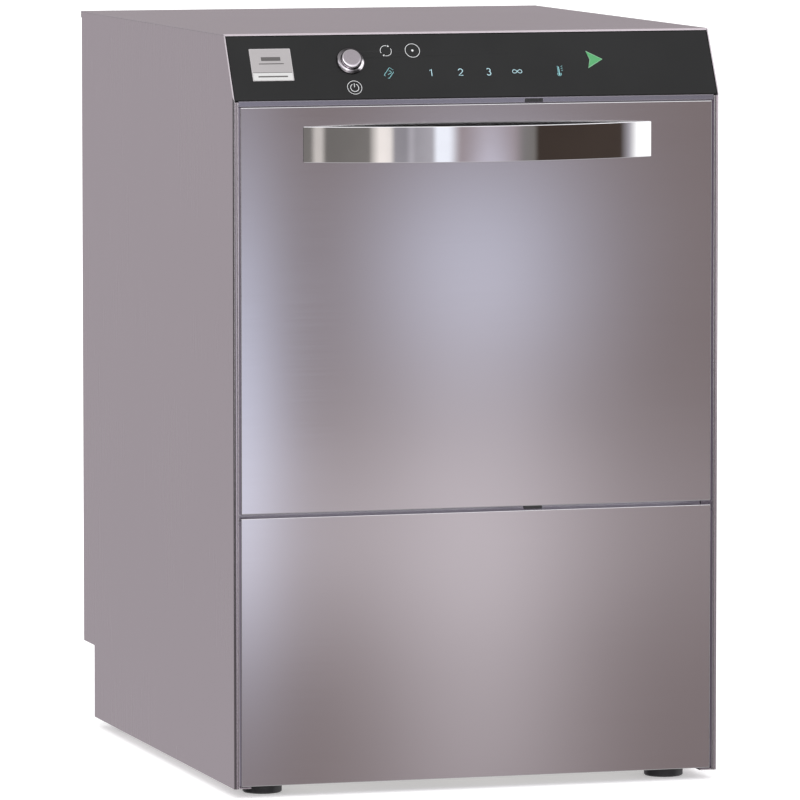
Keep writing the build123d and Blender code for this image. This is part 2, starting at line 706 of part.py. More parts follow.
with BuildPart() as rails:
    with BuildSketch(Plane.XZ.offset(-(TANK_Y0 + 6))):
        for sign in (-1, 1):
            add(
                folded(
                    [
                        (sign * (TANK_HALF - SHEET - 0.1), RAIL_TOP + 20),
                        (sign * (TANK_HALF - SHEET - 0.1), RAIL_TOP - SHEET),
                        (sign * (BASKET / 2 - 6), RAIL_TOP - SHEET),
                    ],
                    Side.LEFT if sign < 0 else Side.RIGHT,
                )
            )
    extrude(amount=-(TANK_LENGTH - 42))
write(rails, "basket_rails")

BASKET_Z, BASKET_FLOOR = RAIL_TOP + 0.3, 5.0
BASKET_CORNER, BASKET_WALL = 24.0, 3.5
STRAIGHT = BASKET - 2 * BASKET_CORNER
with BuildPart() as basket:
    with BuildSketch(Plane.XY.offset(BASKET_Z)):
        with Locations((0, TANK_Y)):
            RectangleRounded(BASKET, BASKET, BASKET_CORNER)
            with GridLocations(32, 32, 10, 10):
                Rectangle(28, 28, mode=Mode.SUBTRACT)
    extrude(amount=BASKET_FLOOR)
    # four side panels and four corner posts clipped onto the floor grid
    sides_z = BASKET_Z + BASKET_FLOOR + 0.05
    wall_height = BASKET_HEIGHT - BASKET_FLOOR - 0.05
    for turn in range(4):
        side_plane = Plane(origin=(0, TANK_Y, sides_z)).rotated((0, 0, 90 * turn))
        with BuildSketch(side_plane):
            with Locations((0, BASKET / 2 - BASKET_WALL / 2)):
                Rectangle(STRAIGHT - 0.2, BASKET_WALL)
        extrude(amount=wall_height)
        with BuildSketch(side_plane):
            with Locations((BASKET / 2 - BASKET_CORNER, BASKET / 2 - BASKET_CORNER)):
                Circle(BASKET_CORNER)
                Circle(BASKET_CORNER - BASKET_WALL, mode=Mode.SUBTRACT)
                with Locations((BASKET_CORNER / 2, BASKET_CORNER / 2)):
                    Rectangle(BASKET_CORNER, BASKET_CORNER, mode=Mode.INTERSECT)
        extrude(amount=wall_height)
    window_z = BASKET_Z + BASKET_FLOOR + wall_height / 2
    for across, middle in ((Plane.XZ.offset(-TANK_Y), 0), (Plane.YZ, TANK_Y)):
        with BuildSketch(across):
            with Locations((middle, window_z)), GridLocations(42, 33, 7, 3):
                Rectangle(35, 26)
        extrude(amount=BASKET, both=True, mode=Mode.SUBTRACT)
write(basket, "glass_basket")

# ================================================================ door
PIN, PIN_BORE = 3.0, 3.05
ARM_X, BRACKET_X = (203.5, 206.5), (199.5, 202.5)
SKIN, TOP_FALL = 1.0, 1.6
with BuildPart() as door_outer:
    with BuildSketch(Plane.XY.offset(DOOR_Z0)):
        add(
            folded(
                [
                    (-DOOR_HALF, FRONT + DOOR_THICK - 1.4),
                    (-DOOR_HALF, FRONT),
                    (DOOR_HALF, FRONT),
                    (DOOR_HALF, FRONT + DOOR_THICK - 1.4),
                ],
                Side.LEFT,
                SKIN,
            )
        )
    extrude(amount=DOOR_Z1 - DOOR_Z0)
    # top return, falling to the rear so that the door clears the panel above it
    back = FRONT + DOOR_THICK - 1.4
    with BuildSketch(Plane.YZ):
        Polygon(
            (FRONT + SKIN, DOOR_Z1),
            (back, DOOR_Z1 - TOP_FALL),
            (back, DOOR_Z1 + 1),
            (FRONT + SKIN, DOOR_Z1 + 1),
            align=None,
        )
    extrude(amount=DOOR_HALF, both=True, mode=Mode.SUBTRACT)
    with BuildSketch(Plane.YZ):
        Polygon(
            (FRONT, DOOR_Z1),
            (FRONT + SKIN, DOOR_Z1),
            (back, DOOR_Z1 - TOP_FALL),
            (back, DOOR_Z1 - TOP_FALL - SKIN),
            (FRONT, DOOR_Z1 - SKIN),
            align=None,
        )
    extrude(amount=DOOR_HALF, both=True)
    with Locations((0, FRONT, DOOR_Z0)):
        Box(388, DOOR_THICK - 1.4, SKIN, align=(Align.CENTER, Align.MIN, Align.MIN))
    fillet(door_outer.edges().filter_by(lambda e: abs(e.center().Y - FRONT) < 0.01), 0.8)
    with BuildSketch(Plane.XZ.offset(-FRONT)):
        with Locations((-146, 559.5), (146, 559.5)):
            Circle(2.6)
    extrude(amount=-SKIN, mode=Mode.SUBTRACT)
write(door_outer, "door_outer_skin")

INNER_Z0, INNER_Z1 = DOOR_Z0 + 0.2, DOOR_Z1 - TOP_FALL - 0.3
with BuildPart() as door_inner:
    with BuildSketch(Plane.XZ.offset(-(FRONT + DOOR_THICK - 1.2))):
        with Locations((0, (INNER_Z0 + INNER_Z1) / 2)):
            Rectangle(2 * DOOR_HALF - 2.8, INNER_Z1 - INNER_Z0)
        with Locations((-205, DOOR_Z0 + 8), (205, DOOR_Z0 + 8)):
            Rectangle(20, 20, mode=Mode.SUBTRACT)
    extrude(amount=-1.2)
    with BuildSketch(Plane.XZ.offset(-(FRONT + DOOR_THICK))):
        with Locations((0, (MOUTH_Z0 + MOUTH_Z1) / 2)):
            RectangleRounded(340, 280, 12)
    extrude(amount=-6, taper=20)
    with BuildSketch(Plane.XZ.offset(-(FRONT + DOOR_THICK - 1.2))):
        with Locations((0, (MOUTH_Z0 + MOUTH_Z1) / 2)):
            RectangleRounded(337.4, 277.4, 10.8)
    extrude(amount=-6, taper=20, mode=Mode.SUBTRACT)
write(door_inner, "door_inner_skin")

HANDLE_Z, HANDLE_HALF = 559.5, 156.0
BOW_DEPTH = HANDLE_REACH - 0.4
with BuildPart() as handle:
    with BuildSketch(Plane.XY.offset(HANDLE_Z - 15.35)):
        with BuildLine():
            outside = ThreePointArc(
                (-HANDLE_HALF, FRONT - 0.4), (0, FRONT - HANDLE_REACH), (HANDLE_HALF, FRONT - 0.4)
            )
            Line(outside @ 1, (HANDLE_HALF - 14, FRONT - 0.4))
            inside = ThreePointArc(
                (HANDLE_HALF - 14, FRONT - 0.4),
                (0, FRONT - HANDLE_REACH + 3),
                (14 - HANDLE_HALF, FRONT - 0.4),
            )
            Line(inside @ 1, outside @ 0)
        make_face()
    extrude(amount=30.7)
    chamfer(handle.edges().filter_by(GeomType.CIRCLE).group_by(Axis.Z)[-1], 0.5)
    chamfer(handle.edges().filter_by(GeomType.CIRCLE).group_by(Axis.Z)[0], 0.5)
    with BuildSketch(Plane.XZ.offset(-FRONT + 0.1)):
        with Locations((-146, HANDLE_Z), (146, HANDLE_Z)):
            Circle(2.05)
    extrude(amount=2, mode=Mode.SUBTRACT)
write(handle, "door_handle")

with BuildPart() as handle_screws:
    with BuildSketch(Plane.XZ.offset(-(FRONT + SKIN + 0.1))):
        with Locations((-146, HANDLE_Z), (146, HANDLE_Z)):
            RegularPolygon(4.4, 6)
    extrude(amount=-3)
    with BuildSketch(Plane.XZ.offset(-(FRONT + SKIN + 0.1))):
        with Locations((-146, HANDLE_Z), (146, HANDLE_Z)):
            Circle(2)
    extrude(amount=2.6)
write(handle_screws, "handle_screws")

with BuildPart() as bumper:
    with BuildSketch(Plane.YZ.offset(42)):
        Polygon(
            (FRONT + 0.7, DOOR_Z0 - 0.1),
            (FRONT + 0.7, DOOR_Z0 - 2.3),
            (FRONT + 2, DOOR_Z0 - 2.8),
            (FRONT + 6, DOOR_Z0 - 0.1),
            align=None,
        )
    extrude(amount=16)
write(bumper, "door_bumper")

with BuildPart() as hinge_arms:
    for sign in (-1, 1):
        with BuildSketch(Plane.YZ.offset(sign * ARM_X[0])):
            with BuildLine():
                Polyline(
                    (HINGE_Y + 7, HINGE_Z - 7),
                    (SPRING_Y, HINGE_Z - 6),
                    (SPRING_Y, HINGE_Z + 4),
                    (HINGE_Y + 24, HINGE_Z + 8),
                    (HINGE_Y + 24, HINGE_Z + 78),
                    (HINGE_Y - 7, HINGE_Z + 78),
                    (HINGE_Y - 7, HINGE_Z - 2),
                    (HINGE_Y - 2, HINGE_Z - 7),
                    close=True,
                )
            make_face()
            with Locations((HINGE_Y, HINGE_Z)):
                Circle(PIN_BORE, mode=Mode.SUBTRACT)
            with Locations((SPRING_Y - 4, HINGE_Z - 1)):
                Circle(1.6, mode=Mode.SUBTRACT)
        extrude(amount=sign * (ARM_X[1] - ARM_X[0]))
        # flange that is welded to the side of the door
        with Locations((sign * 208.3, HINGE_Y + 8, HINGE_Z + 48)):
            Box(3.7, 24, 56)
write(hinge_arms, "hinge_arms")

with BuildPart() as hinge_brackets:
    for sign in (-1, 1):
        with BuildSketch(Plane.YZ.offset(sign * BRACKET_X[0])):
            with BuildLine():
                Polyline(
                    (HINGE_Y - 2, HINGE_Z - 6),
                    (FRAME_Y + 1.4, HINGE_Z - 6),
                    (FRAME_Y + 1.4, TANK_Z0 + 2),
                    (FRAME_Y + 8, TANK_Z0 + 2),
                    (FRAME_Y + 8, HINGE_Z + 6),
                    (HINGE_Y - 2, HINGE_Z + 6),
                    (HINGE_Y - 5, HINGE_Z + 3),
                    (HINGE_Y - 5, HINGE_Z - 3),
                    close=True,
                )
            make_face()
        extrude(amount=sign * (BRACKET_X[1] - BRACKET_X[0]))
        with Locations((sign * 195, FRAME_Y + 1.4, TANK_Z0 + 2)):
            Box(10, 2, 32, align=(Align.CENTER, Align.MIN, Align.MIN))
        with BuildSketch(Plane.YZ.offset(sign * BRACKET_X[0])):
            with Locations((HINGE_Y, HINGE_Z)):
                Circle(PIN)
        extrude(amount=sign * 8.2)
write(hinge_brackets, "hinge_brackets")

with BuildPart() as springs:
    for x in (-SPRING_X, SPRING_X):
        coil_height = HINGE_Z - 8 - SPRING_LOW
        with BuildLine(Plane.XY) as coil:
            Helix(coil_height / 24, coil_height - 2, 4.2, center=(x, SPRING_Y, SPRING_LOW + 1))
        with BuildSketch(Plane(origin=coil.line @ 0, z_dir=coil.line % 0)):
            Circle(0.9)
        sweep(path=coil.line)
write(springs, "door_springs")

# ================================================================ water circuit
PUMP_X, PUMP_Z = -110.0, 82.0
VOLUTE_Y0, VOLUTE_Y1 = FRONT + 152, FRONT + 192
SHAFT = 5.0
with BuildPart() as wash_pump:
    with BuildSketch(Plane.XZ.offset(-(FRONT + 28))):
        with Locations((PUMP_X, PUMP_Z)):
            Circle(52)
    extrude(amount=-10)
    with BuildSketch(Plane.XZ.offset(-(FRONT + 38))):
        with Locations((PUMP_X, PUMP_Z)):
            Circle(55)
            with PolarLocations(56, 30):
                Rectangle(3, 3)
    extrude(amount=-86)
    with BuildSketch(Plane.XZ.offset(-(FRONT + 124))):
        with Locations((PUMP_X, PUMP_Z)):
            Circle(46)
    extrude(amount=-(VOLUTE_Y0 - FRONT - 124))
    with BuildSketch(Plane.XZ.offset(-VOLUTE_Y0)):
        with Locations((PUMP_X, PUMP_Z)):
            Circle(62)
    extrude(amount=-(VOLUTE_Y1 - VOLUTE_Y0))
    with Locations((PUMP_X + 35, (VOLUTE_Y0 + VOLUTE_Y1) / 2, 34.5)):
        Cylinder(15, 70, rotation=(0, 90, 0))
    with BuildSketch(Plane.XZ.offset(-VOLUTE_Y1)):
        with Locations((PUMP_X, PUMP_Z)):
            Circle(17)
    extrude(amount=-10)
    with BuildSketch(Plane.XZ.offset(-(VOLUTE_Y0 + 4))):
        with Locations((PUMP_X, PUMP_Z)):
            Circle(55)
    extrude(amount=-(VOLUTE_Y1 - VOLUTE_Y0 - 8), mode=Mode.SUBTRACT)
    with BuildSketch(Plane.XZ.offset(-VOLUTE_Y1 + 5)):
        with Locations((PUMP_X, PUMP_Z)):
            Circle(14.5)
    extrude(amount=-20, mode=Mode.SUBTRACT)
    with Locations((PUMP_X + 45, (VOLUTE_Y0 + VOLUTE_Y1) / 2, 34.5)):
        Cylinder(12, 60, rotation=(0, 90, 0), mode=Mode.SUBTRACT)
    with BuildSketch(Plane.XZ.offset(-(VOLUTE_Y0 - 20))):
        with Locations((PUMP_X, PUMP_Z)):
            Circle(SHAFT + 0.05)
    extrude(amount=-26, mode=Mode.SUBTRACT)
    # feet on the base pan
    for y in (FRONT + 50, FRONT + 112):
        with Locations((PUMP_X, y, PAN_TOP + 0.1)):
            Box(70, 14, 22, align=(Align.CENTER, Align.CENTER, Align.MIN))
write(wash_pump, "wash_pump")

with BuildPart() as impeller:
    with BuildSketch(Plane.XZ.offset(-(VOLUTE_Y0 - 18))):
        with Locations((PUMP_X, PUMP_Z)):
            Circle(SHAFT)
    extrude(amount=-40)
    with BuildSketch(Plane.XZ.offset(-(VOLUTE_Y0 + 8))):
        with Locations((PUMP_X, PUMP_Z)):
            Circle(48)
    extrude(amount=-3)
    with BuildSketch(Plane.XZ.offset(-(VOLUTE_Y0 + 11))):
        with Locations((PUMP_X, PUMP_Z)), PolarLocations(30, 6):
            SlotOverall(32, 4, rotation=35)
    extrude(amount=-12)
write(impeller, "pump_impeller")

write(
    pipe(
        [
            (PUMP_X, VOLUTE_Y1 + 0.2, PUMP_Z),
            (PUMP_X, TANK_Y, PUMP_Z),
            (SUCTION_X, TANK_Y, PUMP_Z),
            (SUCTION_X, TANK_Y, SUMP_Z - 0.3),
        ],
        19.5,
        17.05,
        24,
    ),
    "suction_hose",
)

BRANCH_Z, RISER_Y, RISER_TOP = 77.0, TANK_Y1 + 24, 612.0
delivery_y = (VOLUTE_Y0 + VOLUTE_Y1) / 2
delivery_bend = pipe(
    [
        (PUMP_X + 70.2, delivery_y, 34.5),
        (0, delivery_y, 34.5),
        (0, TANK_Y, 34.5),
        (0, TANK_Y, TEE_Z0),
    ],
    14,
    11.5,
    18,
)
with BuildPart() as delivery:
    add(delivery_bend.part)
    with Locations((0, TANK_Y, TEE_Z0)):
        Cylinder(18, TEE_Z1 - 0.2 - TEE_Z0, align=(Align.CENTER, Align.CENTER, Align.MIN))
    with BuildSketch(Plane.XZ.offset(-TANK_Y)):
        with Locations((0, BRANCH_Z)):
            Circle(14)
    extrude(amount=-40)
    with BuildSketch(Plane.XZ.offset(-TANK_Y)):
        with Locations((0, BRANCH_Z)):
            Circle(11.5)
    extrude(amount=-42, mode=Mode.SUBTRACT)
    with Locations((0, TANK_Y, TEE_Z0 - 1)):
        Cylinder(11.5, 60, align=(Align.CENTER, Align.CENTER, Align.MIN), mode=Mode.SUBTRACT)
write(delivery, "delivery_pipe")

write(
    pipe(
        [
            (0, TANK_Y + 40.2, BRANCH_Z),
            (0, RISER_Y, BRANCH_Z),
            (0, RISER_Y, RISER_TOP),
            (0, TANK_Y, RISER_TOP),
            (0, TANK_Y, CEILING + UPPER_STEM + 0.2),
        ],
        14,
        11.5,
        20,
    ),
    "riser_pipe",
)

BOILER_X, BOILER_Y, BOILER_RADIUS = 132.0, FRONT + 120, 72.0
with BuildPart() as boiler:
    with Locations((BOILER_X, BOILER_Y, 22)):
        Cylinder(BOILER_RADIUS, 172, align=(Align.CENTER, Align.CENTER, Align.MIN))
    fillet(boiler.edges().filter_by(GeomType.CIRCLE), 12)
    offset(amount=-1.5, kind=Kind.ARC, mode=Mode.SUBTRACT)
    with Locations((BOILER_X, BOILER_Y, PAN_TOP + 0.1)), PolarLocations(60, 3, 35):
        Cylinder(6, 14, align=(Align.CENTER, Align.CENTER, Align.MIN))
write(boiler, "boiler")

write(
    pipe([(BOILER_X - BOILER_RADIUS - 0.2, BOILER_Y, 120), (0, BOILER_Y, 120),
          (0, TANK_Y - COLUMN_TUBE - 0.2, 120)], 7, 5, 14),
    "lower_rinse_hose",
)
RINSE_X, RINSE_Z = 95.0, TANK_Z1 + 5.6
write(
    pipe(
        [
            (BOILER_X, BOILER_Y + BOILER_RADIUS + 0.2, 170),
            (BOILER_X, BOILER_Y + BOILER_RADIUS + 36, 170),
            (RINSE_X, BOILER_Y + BOILER_RADIUS + 36, 170),
            (RINSE_X, RISER_Y, 170),
            (RINSE_X, RISER_Y, RINSE_Z),
            (RINSE_X, TANK_Y, RINSE_Z),
            (COLUMN_TUBE + 0.2, TANK_Y, RINSE_Z),
        ],
        5,
        3.5,
        12,
    ),
    "upper_rinse_hose",
)

DRAIN_PUMP_X, DRAIN_PUMP_Y = 65.0, FRONT + 400
with BuildPart() as drain_pump:
    for radius, bottom, height in ((30, 20, 30), (20, 50, 6), (25, 56, 38), (10, 94, 5)):
        with Locations((DRAIN_PUMP_X, DRAIN_PUMP_Y, bottom)):
            Cylinder(radius, height, align=(Align.CENTER, Align.CENTER, Align.MIN))
    with Locations((DRAIN_PUMP_X, DRAIN_PUMP_Y, PAN_TOP + 0.1)):
        Cylinder(22, 10, align=(Align.CENTER, Align.CENTER, Align.MIN))
write(drain_pump, "drain_pump")

write(
    pipe(
        [
            (SUMP_X + SUMP_SIZE[0] / 2 + 1.2, SUMP_DRAIN_Y, SUMP_DRAIN_Z),
            (DRAIN_PUMP_X, SUMP_DRAIN_Y, SUMP_DRAIN_Z),
            (DRAIN_PUMP_X, SUMP_DRAIN_Y, 35),
            (DRAIN_PUMP_X, DRAIN_PUMP_Y - 30.2, 35),
        ],
        13,
        11.05,
        16,
    ),
    "drain_hose",
)

with BuildPart() as drain_tee:
    with Locations((OVERFLOW_X, OVERFLOW_Y, 22)):
        Cylinder(16, 40, align=(Align.CENTER, Align.CENTER, Align.MIN))
    with BuildSketch(Plane.XZ.offset(-OVERFLOW_Y)):
        with Locations((DRAIN_X, SPIGOT_Z)):
            Circle(11)
    extrude(amount=-(NOTCH_Y + 17 - OVERFLOW_Y))
    with BuildSketch(Plane.XZ.offset(-(NOTCH_Y - 4))):
        with Locations((DRAIN_X, SPIGOT_Z)):
            Circle(13.3)
    extrude(amount=-5)
    with BuildSketch(Plane.YZ.offset(DRAIN_PUMP_X + 30.5)):
        with Locations((DRAIN_PUMP_Y, 35)):
            Circle(9)
    extrude(amount=OVERFLOW_X - DRAIN_PUMP_X - 31)
    with BuildSketch(Plane.XZ.offset(-OVERFLOW_Y)):
        with Locations((DRAIN_X, SPIGOT_Z)):
            Circle(9)
    extrude(amount=-(NOTCH_Y + 18 - OVERFLOW_Y), mode=Mode.SUBTRACT)
write(drain_tee, "drain_tee")

write(pipe([(OVERFLOW_X, OVERFLOW_Y, TANK_Z0 - 0.3), (OVERFLOW_X, OVERFLOW_Y, 62.3)], 15, 13.05, 0),
      "overflow_hose")

with BuildPart() as inlet_valve:
    with Locations((VALVE_X, NOTCH_Y - 18, SPIGOT_Z)):
        Box(30, 32, 25)
    for radius, end in ((14.3, 1), (13.2, 17)):
        with BuildSketch(Plane.XZ.offset(-(NOTCH_Y - 4))):
            with Locations((VALVE_X, SPIGOT_Z)):
                Circle(radius)
        extrude(amount=-(4 + end))
    with BuildSketch(Plane.XZ.offset(-(NOTCH_Y - 10))):
        with Locations((VALVE_X, SPIGOT_Z)):
            Circle(7)
    extrude(amount=-30, mode=Mode.SUBTRACT)
    with Locations((VALVE_X - 34, NOTCH_Y - 20, SPIGOT_Z)):
        Box(40, 26, 22)
    with Locations((VALVE_X, NOTCH_Y - 22, SPIGOT_Z + 12)):
        Cylinder(8, 22, align=(Align.CENTER, Align.CENTER, Align.MIN))
write(inlet_valve, "inlet_valve")

write(
    pipe(
        [
            (VALVE_X, NOTCH_Y - 22, SPIGOT_Z + 34.3),
            (VALVE_X, NOTCH_Y - 22, 110),
            (VALVE_X, FRONT + 340, 110),
            (BOILER_X, FRONT + 340, 110),
            (BOILER_X, BOILER_Y + BOILER_RADIUS + 0.2, 110),
        ],
        7,
        5,
        14,
    ),
    "inlet_hose",
)

with BuildPart() as dosing_pumps:
    for y in (FRONT + 330, FRONT + 400):
        with Locations((-168, y, 150)):
            Box(26, 52, 60)
        with Locations((-150, y, 150)):
            Cylinder(24, 14, rotation=(0, 90, 0))
        with Locations((-190, y, 150)):
            Cylinder(17, 22, rotation=(0, 90, 0))
        with Locations((-150, y - 10, 118), (-150, y + 10, 118)):
            Cylinder(4, 24)
write(dosing_pumps, "dosing_pumps")
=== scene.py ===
"""Looks for the glass washer: studio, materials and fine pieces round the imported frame."""

import json
import math

import bmesh
import bpy
from mathutils import Matrix, Vector


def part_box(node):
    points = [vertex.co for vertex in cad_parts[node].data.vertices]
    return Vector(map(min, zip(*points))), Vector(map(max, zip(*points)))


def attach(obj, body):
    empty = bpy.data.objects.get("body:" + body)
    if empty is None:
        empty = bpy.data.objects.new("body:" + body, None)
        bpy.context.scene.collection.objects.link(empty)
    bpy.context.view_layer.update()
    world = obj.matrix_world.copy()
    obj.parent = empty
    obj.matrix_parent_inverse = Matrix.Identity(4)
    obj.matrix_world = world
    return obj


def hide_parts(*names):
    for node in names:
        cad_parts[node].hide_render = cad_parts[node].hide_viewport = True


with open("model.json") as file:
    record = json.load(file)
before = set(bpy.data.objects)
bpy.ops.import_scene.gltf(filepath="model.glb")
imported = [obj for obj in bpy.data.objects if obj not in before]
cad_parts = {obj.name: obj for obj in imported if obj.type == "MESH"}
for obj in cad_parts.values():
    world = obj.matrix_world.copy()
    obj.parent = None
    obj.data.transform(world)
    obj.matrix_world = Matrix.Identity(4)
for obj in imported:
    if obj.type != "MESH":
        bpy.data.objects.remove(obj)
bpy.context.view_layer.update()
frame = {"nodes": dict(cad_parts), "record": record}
NODES = frame["nodes"]
SLOT_OF = {s["node"]: s["material_slot"] for s in frame["record"]["subparts"]}

MM = 0.001
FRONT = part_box("lower_front_panel")[0].y
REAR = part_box("rear_panel")[1].y
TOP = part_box("roof_panel")[1].z
PANEL_LOW = 0.5975  # lower edge of the sloping control panel
PANEL_RUN = 0.0314  # how far its upper edge stands back
SLOPE = Vector((0, PANEL_RUN, TOP - PANEL_LOW)).normalized()
OUTWARD = Vector((0, -SLOPE.z, SLOPE.y))
PANEL = Matrix(
    (
        (1, 0, 0, 0),
        (0, SLOPE.y, OUTWARD.y, FRONT),
        (0, SLOPE.z, OUTWARD.z, PANEL_LOW),
        (0, 0, 0, 1),
    )
)
BUTTON = PANEL @ Matrix.Translation((-108.9 * MM, 36.4 * MM, 0))


# ---------------------------------------------------------------- node helpers
class Tree:
    """Short calls for building a node tree."""

    def __init__(self, tree):
        self.tree = tree
        tree.nodes.clear()

    def add(self, kind, **settings):
        node = self.tree.nodes.new(kind)
        inputs = settings.pop("inputs", {})
        for key, value in settings.items():
            setattr(node, key, value)
        for key, value in inputs.items():
            if isinstance(value, bpy.types.NodeSocket):
                self.tree.links.new(value, node.inputs[key])
            else:
                node.inputs[key].default_value = value
        return node

    def math(self, operation, *values):
        inputs = dict(enumerate(values))
        return self.add("ShaderNodeMath", operation=operation, inputs=inputs).outputs[0]

    def mix(self, factor, a, b, blend="MIX"):
        settings = {"data_type": "RGBA", "blend_type": blend}
        return self.add("ShaderNodeMix", **settings, inputs={0: factor, 6: a, 7: b}).outputs[2]

    def ramp(self, factor, stops):
        """Colours blended along factor, from (position, colour) stops."""
        node = self.add("ShaderNodeValToRGB", inputs={0: factor})
        ramp = node.color_ramp
        ramp.elements[0].position = stops[0][0]
        ramp.elements[0].color = (*stops[0][1], 1)
        ramp.elements[1].position = stops[-1][0]
        ramp.elements[1].color = (*stops[-1][1], 1)
        for position, colour in stops[1:-1]:
            ramp.elements.new(position).color = (*colour, 1)
        return node.outputs[0]

    def bump(self, height, strength, distance):
        inputs = {"Strength": strength, "Distance": distance, "Height": height}
        return self.add("ShaderNodeBump", inputs=inputs).outputs[0]

    def dot(self, a, b):
        inputs = {0: a, 1: b}
        node = self.add("ShaderNodeVectorMath", operation="DOT_PRODUCT", inputs=inputs)
        return node.outputs["Value"]

    def noise(self, vector, scale, detail=3.0, stretch=None):
        if stretch:
            vector = self.add(
                "ShaderNodeMapping", inputs={"Vector": vector, "Scale": stretch}
            ).outputs[0]
        return self.add(
            "ShaderNodeTexNoise", inputs={"Vector": vector, "Scale": scale, "Detail": detail}
        ).outputs[0]

    def range(self, value, low, high, to_low=0.0, to_high=1.0):
        """Smooth step of value from to_low at low to to_high at high."""
        return self.add(
            "ShaderNodeMapRange",
            interpolation_type="SMOOTHSTEP",
            inputs={0: value, 1: low, 2: high, 3: to_low, 4: to_high},
        ).outputs[0]


def grey(value, tint=(1.0, 1.0, 1.0)):
    """A brightness with a tint."""
    return tuple(value * t for t in tint)


def surface(name):
    """A new material with its tree, its object coordinates and its main shader."""
    material = bpy.data.materials.new(name)
    material.use_nodes = True
    t = Tree(material.node_tree)
    shader = t.add("ShaderNodeBsdfPrincipled")
    t.add("ShaderNodeOutputMaterial", inputs={0: shader.outputs[0]})
    coords = t.add("ShaderNodeTexCoord").outputs["Object"]
    return material, t, shader, coords


def connect(t, shader, **values):
    """Sets or links the shader's inputs, named with underscores for spaces."""
    for key, value in values.items():
        socket = shader.inputs[key.replace("_", " ")]
        if isinstance(value, bpy.types.NodeSocket):
            t.tree.links.new(value, socket)
        else:
            socket.default_value = value


def edge_mask(t, radius):
    """1 near sharp edges, 0 on flats."""
    bevel = t.add("ShaderNodeBevel", samples=4, inputs={"Radius": radius}).outputs[0]
    normal = t.add("ShaderNodeNewGeometry").outputs["Normal"]
    return t.range(t.dot(bevel, normal), 0.995, 0.90)


GAP_GLOW = (0.118, 0.107, 0.130, 1)  # painted light: an emitted glow standing in for the light that finds its way into the narrow gaps


GROOVE = 0.21415  # distance of the side panels' front groove from the middle


def fold_shade(t, across, sideways, facing):
    """Painted shade on the side panels' front fold: the bends and the groove between them."""
    frontal = t.range(facing, -0.10, -0.30)
    outer = t.range(sideways, -0.93, -0.72)
    turned_left = t.math("MULTIPLY", t.range(sideways, 0.0, -0.08), outer)
    on_right = t.math("MULTIPLY", t.math("GREATER_THAN", across, 0.0), 0.62)
    turned_right = t.math("MULTIPLY", t.range(sideways, 0.10, 0.40), on_right)
    bends = t.math("MULTIPLY", t.math("MAXIMUM", turned_left, turned_right), frontal)
    offset = t.math("ABSOLUTE", t.math("SUBTRACT", t.math("ABSOLUTE", across), GROOVE))
    groove = t.math("MULTIPLY", t.range(offset, 0.00060, 0.00040), t.range(facing, -0.8, -0.95))
    return t.math("MAXIMUM", bends, groove)


def fold_lip_highlight(t, across, sideways, facing):
    """1 on the inner bend of the left panel's front fold, which gets a painted highlight where it
    catches the light.
    """
    lip = t.math("MULTIPLY", t.range(facing, -0.10, -0.30), t.range(sideways, 0.04, 0.20))
    return t.math("MULTIPLY", t.math("LESS_THAN", across, 0.0), lip)


def steel(
    name, colour, rough, grain, bump=0.06, tint_amount=0.05, fold=1.0, returns=None, glow=0.0
):
    """Satin stainless sheet: fine grain along one axis, faint smears and a lighter colour along
    sharp edges.

    fold below 1 paints shade on the faces that look straight to the front, where the grain runs the
    other way, and paints shade in the front fold's bends and groove and a highlight on its inner
    bend;
    returns is the duller colour of the edges folded back from a front face, which also get painted
    light, a glow of GAP_GLOW that is stronger on faces turned sideways; glow is how much of that
    painted GAP_GLOW light a piece seen only through the gaps gives off.
    """
    material, t, shader, coords = surface(name)
    stretch = [900.0, 900.0, 900.0]
    stretch[grain] = 9.0
    fine = t.noise(coords, 1.0, 4.0, stretch)
    smear = t.noise(coords, 5.0, 2.0)
    dark = tuple(c * (1 - tint_amount) for c in colour)
    light = tuple(min(1, c * (1 + tint_amount)) for c in colour)
    base = t.mix(t.range(smear, 0.3, 0.7), (*dark, 1), (*light, 1))
    base = t.mix(t.math("MULTIPLY", fine, 0.10), base, (*light, 1))
    normal = t.add("ShaderNodeNewGeometry").outputs["Normal"]
    turned = t.add(
        "ShaderNodeVectorTransform",
        vector_type="NORMAL",
        convert_from="WORLD",
        convert_to="OBJECT",
        inputs={0: normal},
    ).outputs[0]
    sideways, facing = t.add("ShaderNodeSeparateXYZ", inputs={0: turned}).outputs[:2]
    if fold < 1:
        # painted shade on the front faces and in the fold's bends and groove, and a painted
        # highlight on its inner bend
        base = t.mix(t.range(facing, -0.7, -0.95), base, (*grey(fold, colour), 1))
        across = t.add("ShaderNodeSeparateXYZ", inputs={0: coords}).outputs[0]
        shade = fold_shade(t, across, sideways, facing)
        base = t.mix(shade, base, (*grey(0.3, colour), 1))
        base = t.mix(fold_lip_highlight(t, across, sideways, facing), base, (*grey(1.6, colour), 1))
    edge_lightening = t.math("MULTIPLY", edge_mask(t, 0.0012), 0.5)
    base = t.mix(edge_lightening, base, (0.78, 0.77, 0.78, 1))
    roughness = t.math("MULTIPLY_ADD", fine, 0.07, rough - 0.035)
    roughness = t.math("MULTIPLY_ADD", smear, 0.04, t.math("SUBTRACT", roughness, 0.02))
    if returns:
        back = t.range(facing, -0.25, -0.05)
        base = t.mix(back, base, (*returns, 1))
        roughness = t.math("MULTIPLY_ADD", back, 0.3, roughness)
        flank = t.math("MULTIPLY_ADD", t.math("ABSOLUTE", sideways), 0.5, 0.55)
        glow = t.math("MULTIPLY", back, flank)
    # painted light: the returns and the pieces seen through the gaps glow with GAP_GLOW
    if returns or glow:
        connect(t, shader, Emission_Color=GAP_GLOW, Emission_Strength=glow)
    ridge = t.bump(fine, bump, 0.0001)
    connect(t, shader, Base_Color=base, Metallic=1.0, Roughness=roughness, Normal=ridge)
    return material


